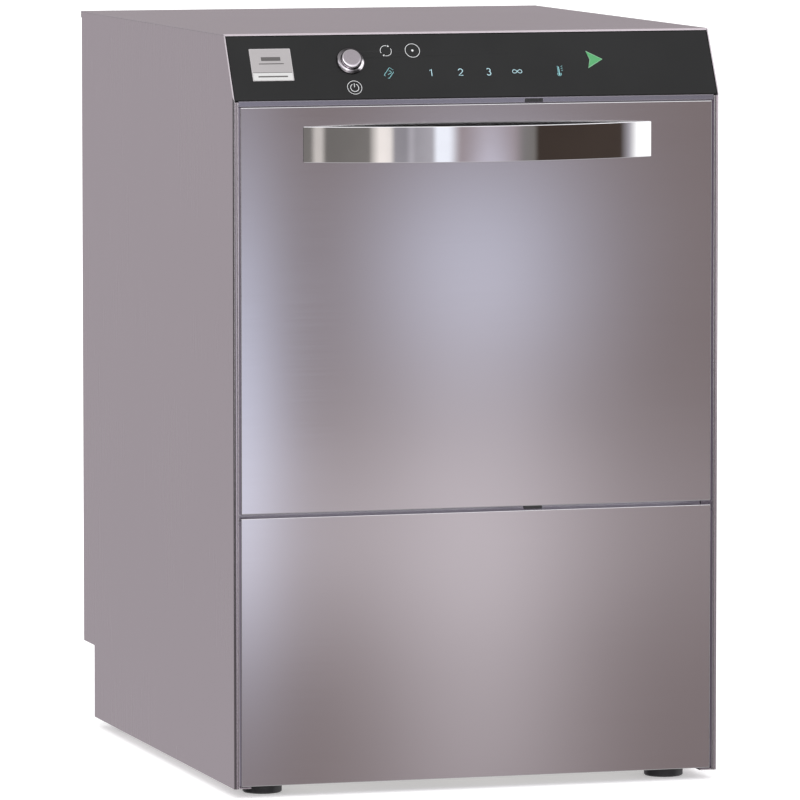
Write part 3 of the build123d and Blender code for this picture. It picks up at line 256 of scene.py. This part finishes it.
def plastic(name, colour, rough, grain=700.0, bump=0.15, coat=0.0, lift=0.25, shine=0.5):
    """Moulded plastic or rubber with a fine texture, uneven sheen and a slightly lighter colour
    along sharp edges.
    """
    material, t, shader, coords = surface(name)
    fine = t.noise(coords, grain, 4.0)
    patch = t.noise(coords, 18.0, 3.0)
    dark = tuple(c * (1 - lift) for c in colour)
    light = tuple(min(1, c * (1 + lift)) for c in colour)
    base = t.mix(t.range(patch, 0.3, 0.7), (*dark, 1), (*light, 1))
    edge_colour = tuple(min(1, c * 1.5 + 0.02) for c in colour)
    base = t.mix(t.math("MULTIPLY", edge_mask(t, 0.0006), 0.5), base, (*edge_colour, 1))
    roughness = t.math("MULTIPLY_ADD", patch, 0.12, rough - 0.06)
    ridge = t.bump(fine, bump, 0.00012)
    connect(t, shader, Base_Color=base, Roughness=roughness, Normal=ridge)
    connect(t, shader, Coat_Weight=coat, Coat_Roughness=0.15, Specular_IOR_Level=shine)
    return material


def print_ink(name, colour, glow):
    """Printed symbol, slightly uneven, with a faint light behind it."""
    material, t, shader, coords = surface(name)
    speckle = t.noise(coords, 3000.0, 3.0)
    base = t.mix(t.range(speckle, 0.2, 0.8), (*grey(0.9, colour), 1), (*colour, 1))
    connect(t, shader, Base_Color=base, Roughness=0.4, Emission_Color=base, Emission_Strength=glow)
    return material


def chrome(name, colour):
    """Mirror-polished steel with hairline marks."""
    material, t, shader, coords = surface(name)
    hair = t.noise(coords, 1.0, 3.0, (30.0, 1200.0, 1500.0))
    patch = t.noise(coords, 25.0, 2.0)
    base = t.mix(t.range(patch, 0.3, 0.7), (*grey(0.96, colour), 1), (*grey(1.03, colour), 1))
    roughness = t.math("MULTIPLY_ADD", hair, 0.05, 0.02)
    ridge = t.bump(hair, 0.02, 0.00005)
    connect(t, shader, Base_Color=base, Metallic=1.0, Roughness=roughness, Normal=ridge)
    return material


def button_metal(name, face, rim, lights, rough):
    """Push button metal: a plain face, and outside the rim radius painted flares all round it.

    lights runs anticlockwise from the left as (part of a turn, brightness). The flares are part
    of the colour, so they stay put as the view turns.
    """
    material, t, shader, coords = surface(name)
    offset = t.add(
        "ShaderNodeVectorMath", operation="SUBTRACT", inputs={0: coords, 1: BUTTON.translation}
    ).outputs[0]
    up = t.dot(offset, SLOPE)
    across = t.add("ShaderNodeSeparateXYZ", inputs={0: offset}).outputs[0]
    turn = t.math("MULTIPLY_ADD", t.math("ARCTAN2", up, across), 0.5 / math.pi, 0.5)
    around = t.ramp(turn, [(part, grey(value, (1.0, 0.95, 0.99))) for part, value in lights])
    squares = t.math("ADD", t.math("MULTIPLY", up, up), t.math("MULTIPLY", across, across))
    radius = t.math("SQRT", squares)
    hair = t.noise(coords, 1.0, 3.0, (1500.0, 300.0, 300.0))
    plain = t.mix(hair, (*grey(0.93, face), 1), (*grey(1.07, face), 1))
    base = t.mix(t.range(radius, rim - 0.0003, rim + 0.0003), plain, around)
    ridge = t.bump(hair, 0.05, 0.00005)
    connect(t, shader, Base_Color=base, Metallic=1.0, Roughness=rough, Normal=ridge)
    return material


RIM_LIGHTS = (
    (0.0, 0.28),
    (0.08, 0.34),
    (0.145, 0.60),
    (0.175, 0.95),
    (0.215, 0.30),
    (0.27, 0.05),
    (0.33, 0.08),
    (0.37, 0.90),
    (0.46, 0.85),
    (0.51, 0.10),
    (0.60, 0.05),
    (0.82, 0.05),
    (0.90, 0.16),
    (1.0, 0.28),
)
CAP_LIGHTS = (
    (0.0, 0.75),
    (0.12, 0.95),
    (0.22, 0.95),
    (0.30, 0.55),
    (0.36, 0.06),
    (0.44, 0.12),
    (0.55, 0.35),
    (0.75, 0.40),
    (0.92, 0.42),
    (1.0, 0.75),
)


def circuit_board():
    """Green board with copper tracks under the solder mask."""
    material, t, shader, coords = surface("circuit_board")
    inputs = {"Vector": coords, "Scale": 160.0}
    tracks = t.add("ShaderNodeTexVoronoi", feature="DISTANCE_TO_EDGE", inputs=inputs)
    lines = t.range(tracks.outputs["Distance"], 0.03, 0.06)
    base = t.mix(lines, (0.10, 0.30, 0.12, 1), (0.015, 0.12, 0.05, 1))
    ridge = t.bump(lines, 0.3, 0.0001)
    connect(t, shader, Base_Color=base, Roughness=0.35, Normal=ridge, Coat_Weight=0.3)
    return material


STEEL = (0.63, 0.63, 0.63)
SIDE_STEEL = (0.60, 0.54, 0.575)
MATERIALS = {
    "door": steel("satin_steel_front", STEEL, 0.105, 0, 0.03, 0.02, returns=(0.44, 0.43, 0.47)),
    "side": steel("satin_steel_side", SIDE_STEEL, 0.26, 2, 0.012, 0.01, fold=0.92),
    "roof": steel("satin_steel_roof", SIDE_STEEL, 0.24, 0, bump=0.015, tint_amount=0.01),
    "inner": steel("satin_steel_inner", (0.70, 0.69, 0.70), 0.24, 0, bump=0.1),
    "tank": steel("deep_drawn_steel", (0.74, 0.73, 0.74), 0.20, 0, bump=0.05),
    "zinc": steel("zinc_plated_steel", (0.62, 0.61, 0.58), 0.34, 1, bump=0.15, tint_amount=0.12),
    # the door frame, seen only through the gaps, glows with painted gap light
    "frame": steel("door_frame_steel", (0.70, 0.69, 0.70), 0.30, 2, bump=0.1, glow=0.5),
    # painted shade and a bluish painted reflection on the recessed panel carrier strip
    "strip": steel("shaded_strip", (0.37, 0.375, 0.44), 0.24, 0, bump=0.03, tint_amount=0.02),
    "cap": button_metal("button_face", (0.37, 0.34, 0.365), 0.0075, CAP_LIGHTS, 0.16),
    "ring": button_metal("polished_ring", (0.37, 0.34, 0.365), 0.0085, RIM_LIGHTS, 0.08),
    "chrome": chrome("polished_steel", (0.90, 0.90, 0.91)),
    "fascia": plastic("printed_fascia", (0.0095, 0.010, 0.010), 0.34, 1500.0, 0.05, 0.0, 0.1, 0.25),
    "badge": steel("badge_silver", (0.47, 0.455, 0.45), 0.36, 0, bump=0.5, tint_amount=0.12),
    "lens": print_ink("green_lens", (0.062, 0.295, 0.107), 0.2),
    # painted highlight along the start key's edge
    "lens_rim_highlight": print_ink("lens_rim_highlight", (0.27, 0.46, 0.32), 0.1),
    "clear": plastic("clear_guide", (0.75, 0.80, 0.80), 0.15, 500.0, 0.03, 0.5, 0.05),
    "board": circuit_board(),
    "rubber": plastic("black_rubber", (0.016, 0.016, 0.017), 0.62, 600.0, 0.4),
    "black": plastic("black_plastic", (0.022, 0.022, 0.024), 0.42, 800.0, 0.25),
    "grey": plastic("grey_plastic", (0.20, 0.215, 0.235), 0.40, 700.0, 0.2, 0.1, 0.12),
    "rack": plastic("rack_plastic", (0.05, 0.12, 0.26), 0.38, 700.0, 0.15, 0.15, 0.12),
    "print": print_ink("pale_print", (0.50, 0.76, 0.83), 0.12),
    "cyan_print": print_ink("cyan_print", (0.24, 0.54, 0.57), 0.10),
    "dark_print": print_ink("dark_print", (0.095, 0.09, 0.088), 0.0),
    "band_print": print_ink("band_print", (0.60, 0.60, 0.595), 0.0),
    "white_print": print_ink("white_print", (0.72, 0.73, 0.74), 0.08),
}
BY_SLOT = {
    "stainless": "inner",
    "polished_steel": "chrome",
    "black_fascia": "fascia",
    "silver_badge": "badge",
    "green_lens": "lens",
    "clear_plastic": "clear",
    "circuit_board": "board",
    "rubber": "rubber",
    "black_plastic": "black",
    "grey_plastic": "grey",
    "zinc_steel": "zinc",
}
BY_NODE = {
    "door_outer_skin": "door",
    "lower_front_panel": "door",
    "left_side_panel": "side",
    "right_side_panel": "side",
    "rear_panel": "side",
    "roof_panel": "roof",
    "wash_tank": "tank",
    "base_pan": "zinc",
    "hinge_brackets": "zinc",
    "hinge_arms": "zinc",
    "door_springs": "zinc",
    "glass_basket": "rack",
    "panel_carrier": "strip",
    "door_frame": "frame",
}
for node, obj in NODES.items():
    material = MATERIALS[BY_NODE.get(node, BY_SLOT[SLOT_OF[node]])]
    if not obj.material_slots:
        obj.data.materials.append(material)
    for place in obj.material_slots:
        place.link = "OBJECT"
        place.material = material


def soften(node, width, segments=2):
    """Small rounded edges on a CAD piece, by modifiers only."""
    obj = NODES[node]
    obj.modifiers.new("weld", "WELD").merge_threshold = 1e-5
    bevel = obj.modifiers.new("rounding", "BEVEL")
    bevel.width = width
    bevel.segments = segments
    bevel.limit_method = "ANGLE"
    bevel.angle_limit = math.radians(50)
    bevel.harden_normals = True


# ---------------------------------------------------------------- mesh helpers
def piece(name, bm, material, body, smooth=40):
    """Turns a bmesh into a finished piece on a body."""
    bmesh.ops.recalc_face_normals(bm, faces=bm.faces)
    mesh = bpy.data.meshes.new(name)
    bm.to_mesh(mesh)
    bm.free()
    obj = bpy.data.objects.new(name, mesh)
    bpy.context.scene.collection.objects.link(obj)
    mesh.materials.append(MATERIALS[material])
    if smooth:
        mesh.shade_smooth()
        mesh.set_sharp_from_angle(angle=math.radians(smooth))
    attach(obj, body)
    return obj


def prism(bm, outline, height, transform):
    """Closed extrusion of a flat outline along local z from 0 to height."""
    low = [bm.verts.new(transform @ Vector((x, y, 0))) for x, y in outline]
    high = [bm.verts.new(transform @ Vector((x, y, height))) for x, y in outline]
    bm.faces.new(low[::-1])
    bm.faces.new(high)
    n = len(outline)
    for i in range(n):
        bm.faces.new((low[i], low[(i + 1) % n], high[(i + 1) % n], high[i]))


def stroke(bm, points, width, height, transform, closed=False):
    """Raised line of even width along a chain of flat points."""
    n = len(points)
    rails = []
    for i, (x, y) in enumerate(points):
        before = points[(i - 1) % n] if closed or i else points[i]
        after = points[(i + 1) % n] if closed or i < n - 1 else points[i]
        along = Vector((after[0] - before[0], after[1] - before[1])).normalized()
        side = Vector((-along.y, along.x)) * width / 2
        rails.append(
            [
                bm.verts.new(transform @ Vector((x + s * side.x, y + s * side.y, z)))
                for s, z in ((1, 0), (-1, 0), (-1, height), (1, height))
            ]
        )
    for i in range(n if closed else n - 1):
        a, b = rails[i], rails[(i + 1) % n]
        for k in range(4):
            bm.faces.new((a[k], b[k], b[(k + 1) % 4], a[(k + 1) % 4]))
    if not closed:
        bm.faces.new(rails[0])
        bm.faces.new(rails[-1][::-1])


def lathe(bm, profile, transform, segments=96):
    """Turned form from (radius, height) points; both ends on the axis are closed."""
    rings = []
    for radius, height in profile:
        if radius < 1e-7:
            rings.append([bm.verts.new(transform @ Vector((0, 0, height)))])
            continue
        ring = []
        for i in range(segments):
            angle = 2 * math.pi * i / segments
            at = Vector((radius * math.cos(angle), radius * math.sin(angle), height))
            ring.append(bm.verts.new(transform @ at))
        rings.append(ring)
    for a, b in zip(rings, rings[1:]):
        for i in range(segments):
            j = (i + 1) % segments
            corners = [a[i % len(a)], a[j % len(a)], b[j % len(b)], b[i % len(b)]]
            unique = list(dict.fromkeys(corners))
            if len(unique) > 2:
                bm.faces.new(unique)


def arc(cx, cy, radius, start, end, steps):
    """Points along a round stretch, with its angles in degrees."""
    angles = [math.radians(start + (end - start) * i / steps) for i in range(steps + 1)]
    return [(cx + radius * math.cos(a), cy + radius * math.sin(a)) for a in angles]


# ---------------------------------------------------------------- handle
def bow(half, reach, u):
    """Point of a circular bow over the door, u from -1 to 1."""
    foot = FRONT - 0.4 * MM
    depth = foot - (FRONT - reach)
    radius = (half * half + depth * depth) / (2 * depth)
    angle = math.asin(half / radius) * u
    return radius * math.sin(angle), FRONT - reach + radius * (1 - math.cos(angle))


handle_low, handle_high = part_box("door_handle")
bm = bmesh.new()
rows = []
STEPS = 160
for i in range(STEPS + 1):
    u = 2 * i / STEPS - 1
    outer = bow(156 * MM, 34 * MM, u)
    inner = bow(142 * MM, 31 * MM, u)
    rows.append(
        [
            bm.verts.new((x, y, z))
            for (x, y), z in (
                (outer, handle_low.z),
                (outer, handle_high.z),
                (inner, handle_high.z),
                (inner, handle_low.z),
            )
        ]
    )
for a, b in zip(rows, rows[1:]):
    for k in range(4):
        bm.faces.new((a[k], b[k], b[(k + 1) % 4], a[(k + 1) % 4]))
bm.faces.new(rows[0])
bm.faces.new(rows[-1][::-1])
handle = piece("bow_handle", bm, "chrome", "door", 30)
rounding = handle.modifiers.new("rounding", "BEVEL")
rounding.width = 0.5 * MM
rounding.segments = 3
rounding.limit_method = "ANGLE"
rounding.angle_limit = math.radians(40)
rounding.harden_normals = True
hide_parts("door_handle")

# ---------------------------------------------------------------- power button
bm = bmesh.new()
lathe(
    bm,
    [
        (r * MM, h * MM)
        for r, h in (
            (8.95, -15.0),
            (10.9, -15.0),
            (10.9, -0.05),
            (12.2, 0.05),
            (12.45, 0.4),
            (12.35, 1.1),
            (11.8, 1.9),
            (10.9, 2.5),
            (10.0, 2.75),
            (9.4, 2.8),
            (9.05, 2.6),
            (8.95, 2.2),
            (8.95, -15.0),
        )
    ],
    BUTTON,
)
bmesh.ops.remove_doubles(bm, verts=bm.verts, dist=1e-6)
ring = piece("button_bezel", bm, "ring", "cabinet", 50)
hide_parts("power_button_bezel")
bm = bmesh.new()
lathe(
    bm,
    [
        (r * MM, h * MM)
        for r, h in (
            (0, -10.9),
            (8.7, -10.9),
            (8.7, 4.7),
            (8.6, 5.3),
            (8.25, 5.75),
            (7.7, 5.98),
            (6.0, 6.08),
            (3.5, 6.12),
            (0, 6.13),
        )
    ],
    BUTTON,
)
cap = piece("button_cap", bm, "cap", "power_button", 50)
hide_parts("power_button_cap")

# ---------------------------------------------------------------- panel print
LIFT = Matrix.Translation((0, 0, 0.01 * MM))


def at_panel(x, y, scale=1.0):
    return PANEL @ LIFT @ Matrix.Translation((x * MM, y * MM, 0)) @ Matrix.Scale(scale * MM, 4)


def symbols(name, material, glyphs):
    bm = bmesh.new()
    for draw in glyphs:
        draw(bm)
    return piece(name, bm, material, "cabinet", 0)


def power_mark(bm):
    place = at_panel(-108.6, 11.2)
    stroke(bm, arc(0, 0, 6.3, 0, 360, 48)[:-1], 0.4, 0.06, place, True)
    stroke(bm, arc(0, -0.2, 3.6, 118, 422, 30), 0.5, 0.06, place)
    stroke(bm, [(0, 0.4), (0, 3.9)], 0.5, 0.06, place)


def cycle_mark(bm):
    place = at_panel(-76, 45.8)
    for turn in (45, 225):
        stroke(bm, arc(0, 0, 4.9, turn + 30, turn + 160, 20), 0.42, 0.06, place)
        tip = math.radians(turn + 22)
        cx, cy = 4.9 * math.cos(tip), 4.9 * math.sin(tip)
        along = Vector((math.sin(tip), -math.cos(tip)))
        out = Vector((math.cos(tip), math.sin(tip)))
        foot = Vector((cx, cy))
        head = [foot + out * 0.9, foot - out * 0.9, foot + along * 1.6]
        prism(bm, [tuple(p) for p in head], 0.06, place)


def ring_mark(bm):
    place = at_panel(-52.3, 45.7)
    stroke(bm, arc(0, 0, 6.4, 0, 360, 48)[:-1], 0.42, 0.06, place, True)
    prism(bm, arc(0, 0, 1.0, 0, 360, 24)[:-1], 0.06, place)


def drain_mark(bm):
    place = at_panel(-76, 24.5) @ Matrix.Rotation(math.radians(-38), 4, "Z")
    stroke(bm, [(1.2, 4.6), (-2.6, 4.6), (-2.6, -4.6), (-1.2, -4.6)], 0.4, 0.06, place)
    stroke(bm, [(1.4, -4.6), (2.6, -4.6), (2.6, 3.4)], 0.4, 0.06, place)
    stroke(bm, arc(0, 0.9, 1.3, 160, -60, 12) + [(0.0, -1.9)], 0.4, 0.06, place)


def endless_mark(bm):
    place = at_panel(38.5, 24.3)
    path = []
    for i in range(48):
        a = 2 * math.pi * i / 48
        d = 1 + math.sin(a) ** 2
        path.append((4.2 * math.cos(a) / d, 4.6 * math.sin(a) * math.cos(a) / d))
    stroke(bm, path, 0.42, 0.06, place, True)


def thermometer_mark(bm):
    place = at_panel(76.2, 24.8)
    stroke(bm, [(-1.0, -2.2), (-1.0, 4.2)], 0.35, 0.06, place)
    stroke(bm, arc(0, -3.6, 1.7, 140, 400, 20), 0.35, 0.06, place)
    prism(bm, arc(0, -3.6, 0.9, 0, 360, 16)[:-1], 0.06, place)
    stroke(bm, [(0, -3.0), (0, 3.4)], 0.7, 0.06, place)
    for y in (-0.6, 1.4, 3.4):
        stroke(bm, [(2.0, y), (3.4, y + 0.8)], 0.35, 0.06, place)


def digit_paths():
    one = [(-1.3, 1.9), (0.3, 3.2), (0.3, -3.2)]
    two = arc(0, 1.35, 1.85, 165, -38, 16) + [(-1.9, -3.0), (2.0, -3.0)]
    three = arc(-0.1, 1.6, 1.6, 150, -75, 14) + arc(-0.1, -1.35, 1.85, 75, -150, 16)
    return ((-38.5, one), (-12.3, two), (12.9, three))


def digits(bm):
    for x, path in digit_paths():
        stroke(bm, path, 0.56, 0.06, at_panel(x, 24.3))


symbols("printed_white_marks", "white_print", (power_mark, cycle_mark, ring_mark))
symbols("printed_pale_marks", "print", (digits, endless_mark))
symbols("printed_cyan_marks", "cyan_print", (drain_mark, thermometer_mark))


BADGE = PANEL @ Matrix.Translation((-179.2 * MM, 33.7 * MM, 0.38 * MM)) @ Matrix.Scale(MM, 4)


def badge_bars(bm):
    """Plain bars and a dividing line on the silver plate, in place of any lettering."""
    stroke(bm, [(-8.5, 5.6), (8.5, 5.6)], 3.6, 0.12, BADGE)
    stroke(bm, [(-11.0, 1.0), (11.0, 1.0)], 0.8, 0.12, BADGE)
    stroke(bm, [(-17.2, -7.4), (17.2, -7.4)], 0.5, 0.12, BADGE)
    stroke(bm, [(-13.0, -11.2), (13.0, -11.2)], 1.3, 0.14, BADGE)


def badge_band(bm):
    prism(bm, [(-17.4, -14.6), (17.4, -14.6), (17.4, -7.6), (-17.4, -7.6)], 0.1, BADGE)


symbols("badge_bars", "dark_print", (badge_bars,))
symbols("badge_band", "band_print", (badge_band,))


def arrow_rim_highlight(bm):
    """Painted highlight: a pale line along the start key's edge."""
    corners = [(102.6, 43.2), (117.2, 34.8), (102.8, 26.1), (105.4, 34.6)]
    middle = Vector((107.0, 34.7))
    inset = [tuple(middle + (Vector(c) - middle) * 0.93) for c in corners]
    place = PANEL @ Matrix.Translation((0, 0, 0.28 * MM)) @ Matrix.Scale(MM, 4)
    stroke(bm, inset, 0.5, 0.08, place, True)


symbols("start_key_rim_highlight", "lens_rim_highlight", (arrow_rim_highlight,))

# ---------------------------------------------------------------- rear fixings
def cross_screw(bm, transform):
    """Pan head screw with a cross recess, drawn as a dome of four lobes round a sunk cross."""
    lathe(bm, [(0, 0), (3.6, 0), (3.6, 0.5), (3.1, 1.3), (2.0, 1.75), (0, 1.9)], transform, 32)
    for turn in (0, 90):
        spin = transform @ Matrix.Rotation(math.radians(turn), 4, "Z")
        prism(bm, [(-1.7, -0.3), (1.7, -0.3), (1.7, 0.3), (-1.7, 0.3)], 1.96, spin)


bm = bmesh.new()
rear_low, rear_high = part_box("rear_panel")
for x in (rear_low.x + 0.012, 0.0, rear_high.x - 0.012):
    for z in (rear_low.z + 0.012, (rear_low.z + rear_high.z) / 2, rear_high.z - 0.022):
        if x == 0.0 and rear_low.z + 0.02 < z < rear_high.z - 0.03:
            continue
        face = Matrix.Translation((x, rear_high.y - 0.02 * MM, z)) @ Matrix.Rotation(
            -math.pi / 2, 4, "X"
        )
        cross_screw(bm, face @ Matrix.Scale(0.55 * MM, 4))
piece("rear_screws", bm, "zinc", "cabinet", 35)

for name, width in (
    ("left_side_panel", 0.35),
    ("right_side_panel", 0.35),
    ("roof_panel", 0.4),
    ("control_fascia", 0.3),
    ("badge_plate", 0.25),
):
    soften(name, width * MM)

# ---------------------------------------------------------------- studio
YAW, PITCH = math.radians(16.434), math.radians(5.2935)
LOOK = Vector(
    (math.sin(YAW) * math.cos(PITCH), math.cos(YAW) * math.cos(PITCH), -math.sin(PITCH))
)
camera = bpy.data.objects.new("camera", bpy.data.cameras.new("camera"))
bpy.context.scene.collection.objects.link(camera)
camera.location = (-1.9162, -6.5073, 0.9438)
camera.rotation_mode = "QUATERNION"
camera.rotation_quaternion = LOOK.to_track_quat("-Z", "Y")
camera.data.sensor_width = 36
camera.data.lens = 344.3
camera.data.clip_end = 200
bpy.context.scene.camera = camera

world = bpy.data.worlds.new("studio")
bpy.context.scene.world = world
world.use_nodes = True
t = Tree(world.node_tree)
direction = t.add("ShaderNodeTexCoord").outputs["Generated"]
xyz = t.add("ShaderNodeSeparateXYZ", inputs={0: direction}).outputs
# turn from straight in front of the machine, positive to its right, in degrees
ahead_of_it = t.math("MULTIPLY", xyz[1], -1.0)
turn = t.math("MULTIPLY", t.math("ARCTAN2", xyz[0], ahead_of_it), math.degrees(1))
LILAC = (1.0, 0.95, 1.04)
WARM = (1.0, 0.93, 0.89)
COOL = (0.95, 0.97, 1.06)
BROWN = (1.0, 0.74, 0.62)
REAR_TINT = (1.0, 0.95, 0.99)
# what the polished and satin metal mirrors all round, as (turn in degrees, colour)
BANDS = (
    (-180, grey(0.46, REAR_TINT)),
    (-163, grey(0.515, REAR_TINT)),
    (-140, grey(0.50, REAR_TINT)),
    (-118, grey(0.12, REAR_TINT)),
    (-50, grey(0.10, REAR_TINT)),
    (-30.4, grey(0.20, WARM)),
    (-29.8, grey(0.62, WARM)),
    (-27.6, grey(0.62, WARM)),
    (-27, grey(0.17, WARM)),
    (-14.6, grey(0.20, WARM)),
    (-13.6, grey(0.95, WARM)),
    (-9.9, grey(0.95, WARM)),
    (-9.2, grey(0.30, LILAC)),
    (-5.6, grey(0.30, LILAC)),
    (-4.8, grey(0.55, LILAC)),
    (-3.5, grey(0.36, LILAC)),
    (1.4, grey(0.42, LILAC)),
    (2.4, grey(1.0, COOL)),
    (12, grey(1.0, COOL)),
    (13, grey(0.62, LILAC)),
    (18.8, grey(0.55, LILAC)),
    (20.2, grey(0.25, LILAC)),
    (29.5, grey(0.20, WARM)),
    (30.5, grey(0.05, BROWN)),
    (57.2, grey(0.06, BROWN)),
    (58.2, grey(0.40, LILAC)),
    (60.2, grey(0.40, LILAC)),
    (60.8, grey(1.25)),
    (80, grey(1.1)),
    (120, grey(0.45, REAR_TINT)),
    (163, grey(0.40, (1.0, 0.92, 0.96))),
    (180, grey(0.46, REAR_TINT)),
)
around = t.ramp(
    t.math("MULTIPLY_ADD", turn, 1 / 360, 0.5),
    [((angle + 180) / 360, colour) for angle, colour in BANDS],
)
ahead = t.range(t.math("ABSOLUTE", turn), 85, 65)
lowered = t.math("MULTIPLY", t.range(xyz[2], -0.13, -0.19, 0.0, 0.85), ahead)
around = t.mix(lowered, around, (0.46, 0.44, 0.475, 1))
raised = t.math("MULTIPLY", t.range(xyz[2], 0.0, 0.05), ahead)
upper = t.mix(raised, around, (1.25, 1.25, 1.28, 1))
dark_band = t.math("MULTIPLY", t.range(xyz[2], 0.20, 0.26), ahead)
upper = t.mix(dark_band, upper, (0.14, 0.13, 0.14, 1))
bright_band = t.math("MULTIPLY", t.range(xyz[2], 0.30, 0.38), ahead)
upper = t.mix(bright_band, upper, (2.0, 1.97, 2.05, 1))
upper = t.mix(t.range(xyz[2], 0.66, 0.74), upper, (1.0, 0.98, 1.0, 1))
under = t.range(xyz[2], -0.25, -0.7)
shown = t.mix(under, upper, (0.55, 0.53, 0.54, 1))
rays = t.add("ShaderNodeLightPath").outputs
glossy = t.add("ShaderNodeBackground", inputs={0: shown, 1: 1.0}).outputs[0]
plain = t.add("ShaderNodeBackground", inputs={0: (1.0, 0.995, 1.0, 1), 1: 1.08}).outputs[0]
mixed = t.add("ShaderNodeMixShader", inputs={0: rays["Is Glossy Ray"], 1: plain, 2: glossy})
t.add("ShaderNodeOutputWorld", inputs={0: mixed.outputs[0]})


# reflector in front of the machine: its soft patches show in the door and the lower panel
CARD_Y = -1.05
SPREAD = (FRONT - CARD_Y) / (FRONT - camera.location.y)  # how far a mirrored ray moves on


def mirrored_at(x, z):
    """Where the camera's ray that bounces off the front at (x, z) meets the reflector."""
    start = Vector((x, FRONT, z))
    moved = start + (start - camera.location) * SPREAD
    return Vector((moved.x, CARD_Y, moved.z))


CARD_LEFT, CARD_RIGHT, CARD_LOW, CARD_HIGH = -0.34, 0.34, -0.12, 0.72
bm = bmesh.new()
corners = (
    (CARD_LEFT, CARD_LOW), (CARD_RIGHT, CARD_LOW), (CARD_RIGHT, CARD_HIGH), (CARD_LEFT, CARD_HIGH)
)
bm.faces.new([bm.verts.new(mirrored_at(x, z)) for x, z in corners])
mesh = bpy.data.meshes.new("reflector")
bm.to_mesh(mesh)
bm.free()
card = bpy.data.objects.new("reflector", mesh)
bpy.context.scene.collection.objects.link(card)
card_material = bpy.data.materials.new("reflector")
card_material.use_nodes = True
mesh.materials.append(card_material)
t = Tree(card_material.node_tree)
card_coords = t.add("ShaderNodeTexCoord").outputs["Object"]
spot = t.add("ShaderNodeSeparateXYZ", inputs={0: card_coords}).outputs
scale = 1 / (1 + SPREAD)
across = t.math("MULTIPLY_ADD", spot[0], scale, camera.location.x * SPREAD * scale)
height = t.math("MULTIPLY_ADD", spot[2], scale, camera.location.z * SPREAD * scale)


def bell(value, middle, softness):
    """1 at the middle, fading evenly to both sides."""
    offset = t.math("DIVIDE", t.math("SUBTRACT", value, middle), softness)
    return t.math("EXPONENT", t.math("MULTIPLY", t.math("MULTIPLY", offset, offset), -0.5))


# soft lights: middle and softness across, middle and softness up, colour
# Most of these numbers and the card's own colour are rounded from a fit to the photo's brightness.
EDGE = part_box("left_side_panel")[0].x
ROSE, SKY = (1.20, 0.97, 1.0), (0.85, 0.95, 1.25)
DOOR_LIGHT = (0.0, 0.075, 0.46, 0.08, grey(0.43, SKY))
LOWER_LIGHT = (0.0, 0.07, 0.14, 0.20, grey(0.32, LILAC))
LEFT_LIGHT = (EDGE, 0.03, 0.34, 0.16, grey(0.65, SKY))
CORNER_LIGHT = (EDGE, 0.30, 0.23, 0.07, grey(0.28, LILAC))
card_light = (*grey(0.25, ROSE), 1)
for middle, softness, middle_up, softness_up, colour in (
    DOOR_LIGHT, LOWER_LIGHT, LEFT_LIGHT, CORNER_LIGHT
):
    amount = t.math("MULTIPLY", bell(across, middle, softness), bell(height, middle_up, softness_up))
    card_light = t.mix(amount, card_light, (*colour, 1), "ADD")
glow = t.add("ShaderNodeEmission", inputs={0: card_light, 1: 1.0}).outputs[0]
clear = t.add("ShaderNodeBsdfTransparent").outputs[0]
sight = t.add("ShaderNodeNewGeometry").outputs["Incoming"]
mirrored = Vector((-LOOK.x, LOOK.y, -LOOK.z))
aim = t.dot(sight, mirrored)
seen = t.range(aim, math.cos(math.radians(11)), math.cos(math.radians(7)))
edge = t.math(
    "MULTIPLY",
    t.range(t.math("ABSOLUTE", across), 0.33, 0.28),
    t.range(height, 0.71, 0.66),
)
seen = t.math("MULTIPLY", seen, edge)
shown = t.add("ShaderNodeMixShader", inputs={0: seen, 1: clear, 2: glow})
t.add("ShaderNodeOutputMaterial", inputs={0: shown.outputs[0]})
card.visible_camera = False
card.visible_diffuse = False
card.visible_shadow = False
card.visible_transmission = False

floor_mesh = bpy.data.meshes.new("floor")
bm = bmesh.new()
bmesh.ops.create_circle(bm, cap_ends=True, radius=70, segments=64)
bm.to_mesh(floor_mesh)
bm.free()
floor = bpy.data.objects.new("floor", floor_mesh)
bpy.context.scene.collection.objects.link(floor)
floor_material, t, shader, coords = surface("pale_floor")
patch = t.noise(coords, 0.8, 2.0)
tone = t.mix(t.range(patch, 0.3, 0.7), (0.93, 0.93, 0.935, 1), (0.95, 0.95, 0.95, 1))
connect(t, shader, Base_Color=tone, Roughness=0.9, Specular_IOR_Level=0.1)
connect(t, shader, Emission_Color=(1, 1, 1, 1), Emission_Strength=0.35)
floor_mesh.materials.append(floor_material)
floor.visible_glossy = False

lamp_data = bpy.data.lights.new("softbox", "AREA")
lamp_data.shape = "RECTANGLE"
lamp_data.size, lamp_data.size_y = 2.5, 2.0
lamp_data.energy = 30
lamp = bpy.data.objects.new("softbox", lamp_data)
bpy.context.scene.collection.objects.link(lamp)
lamp.location = (-1.6, -3.2, 2.6)
lamp.rotation_mode = "QUATERNION"
lamp.rotation_quaternion = (Vector((0, 0, 0.35)) - lamp.location).to_track_quat("-Z", "Y")
lamp.visible_glossy = False
lamp.visible_camera = False

bpy.context.scene.view_settings.view_transform = "Standard"
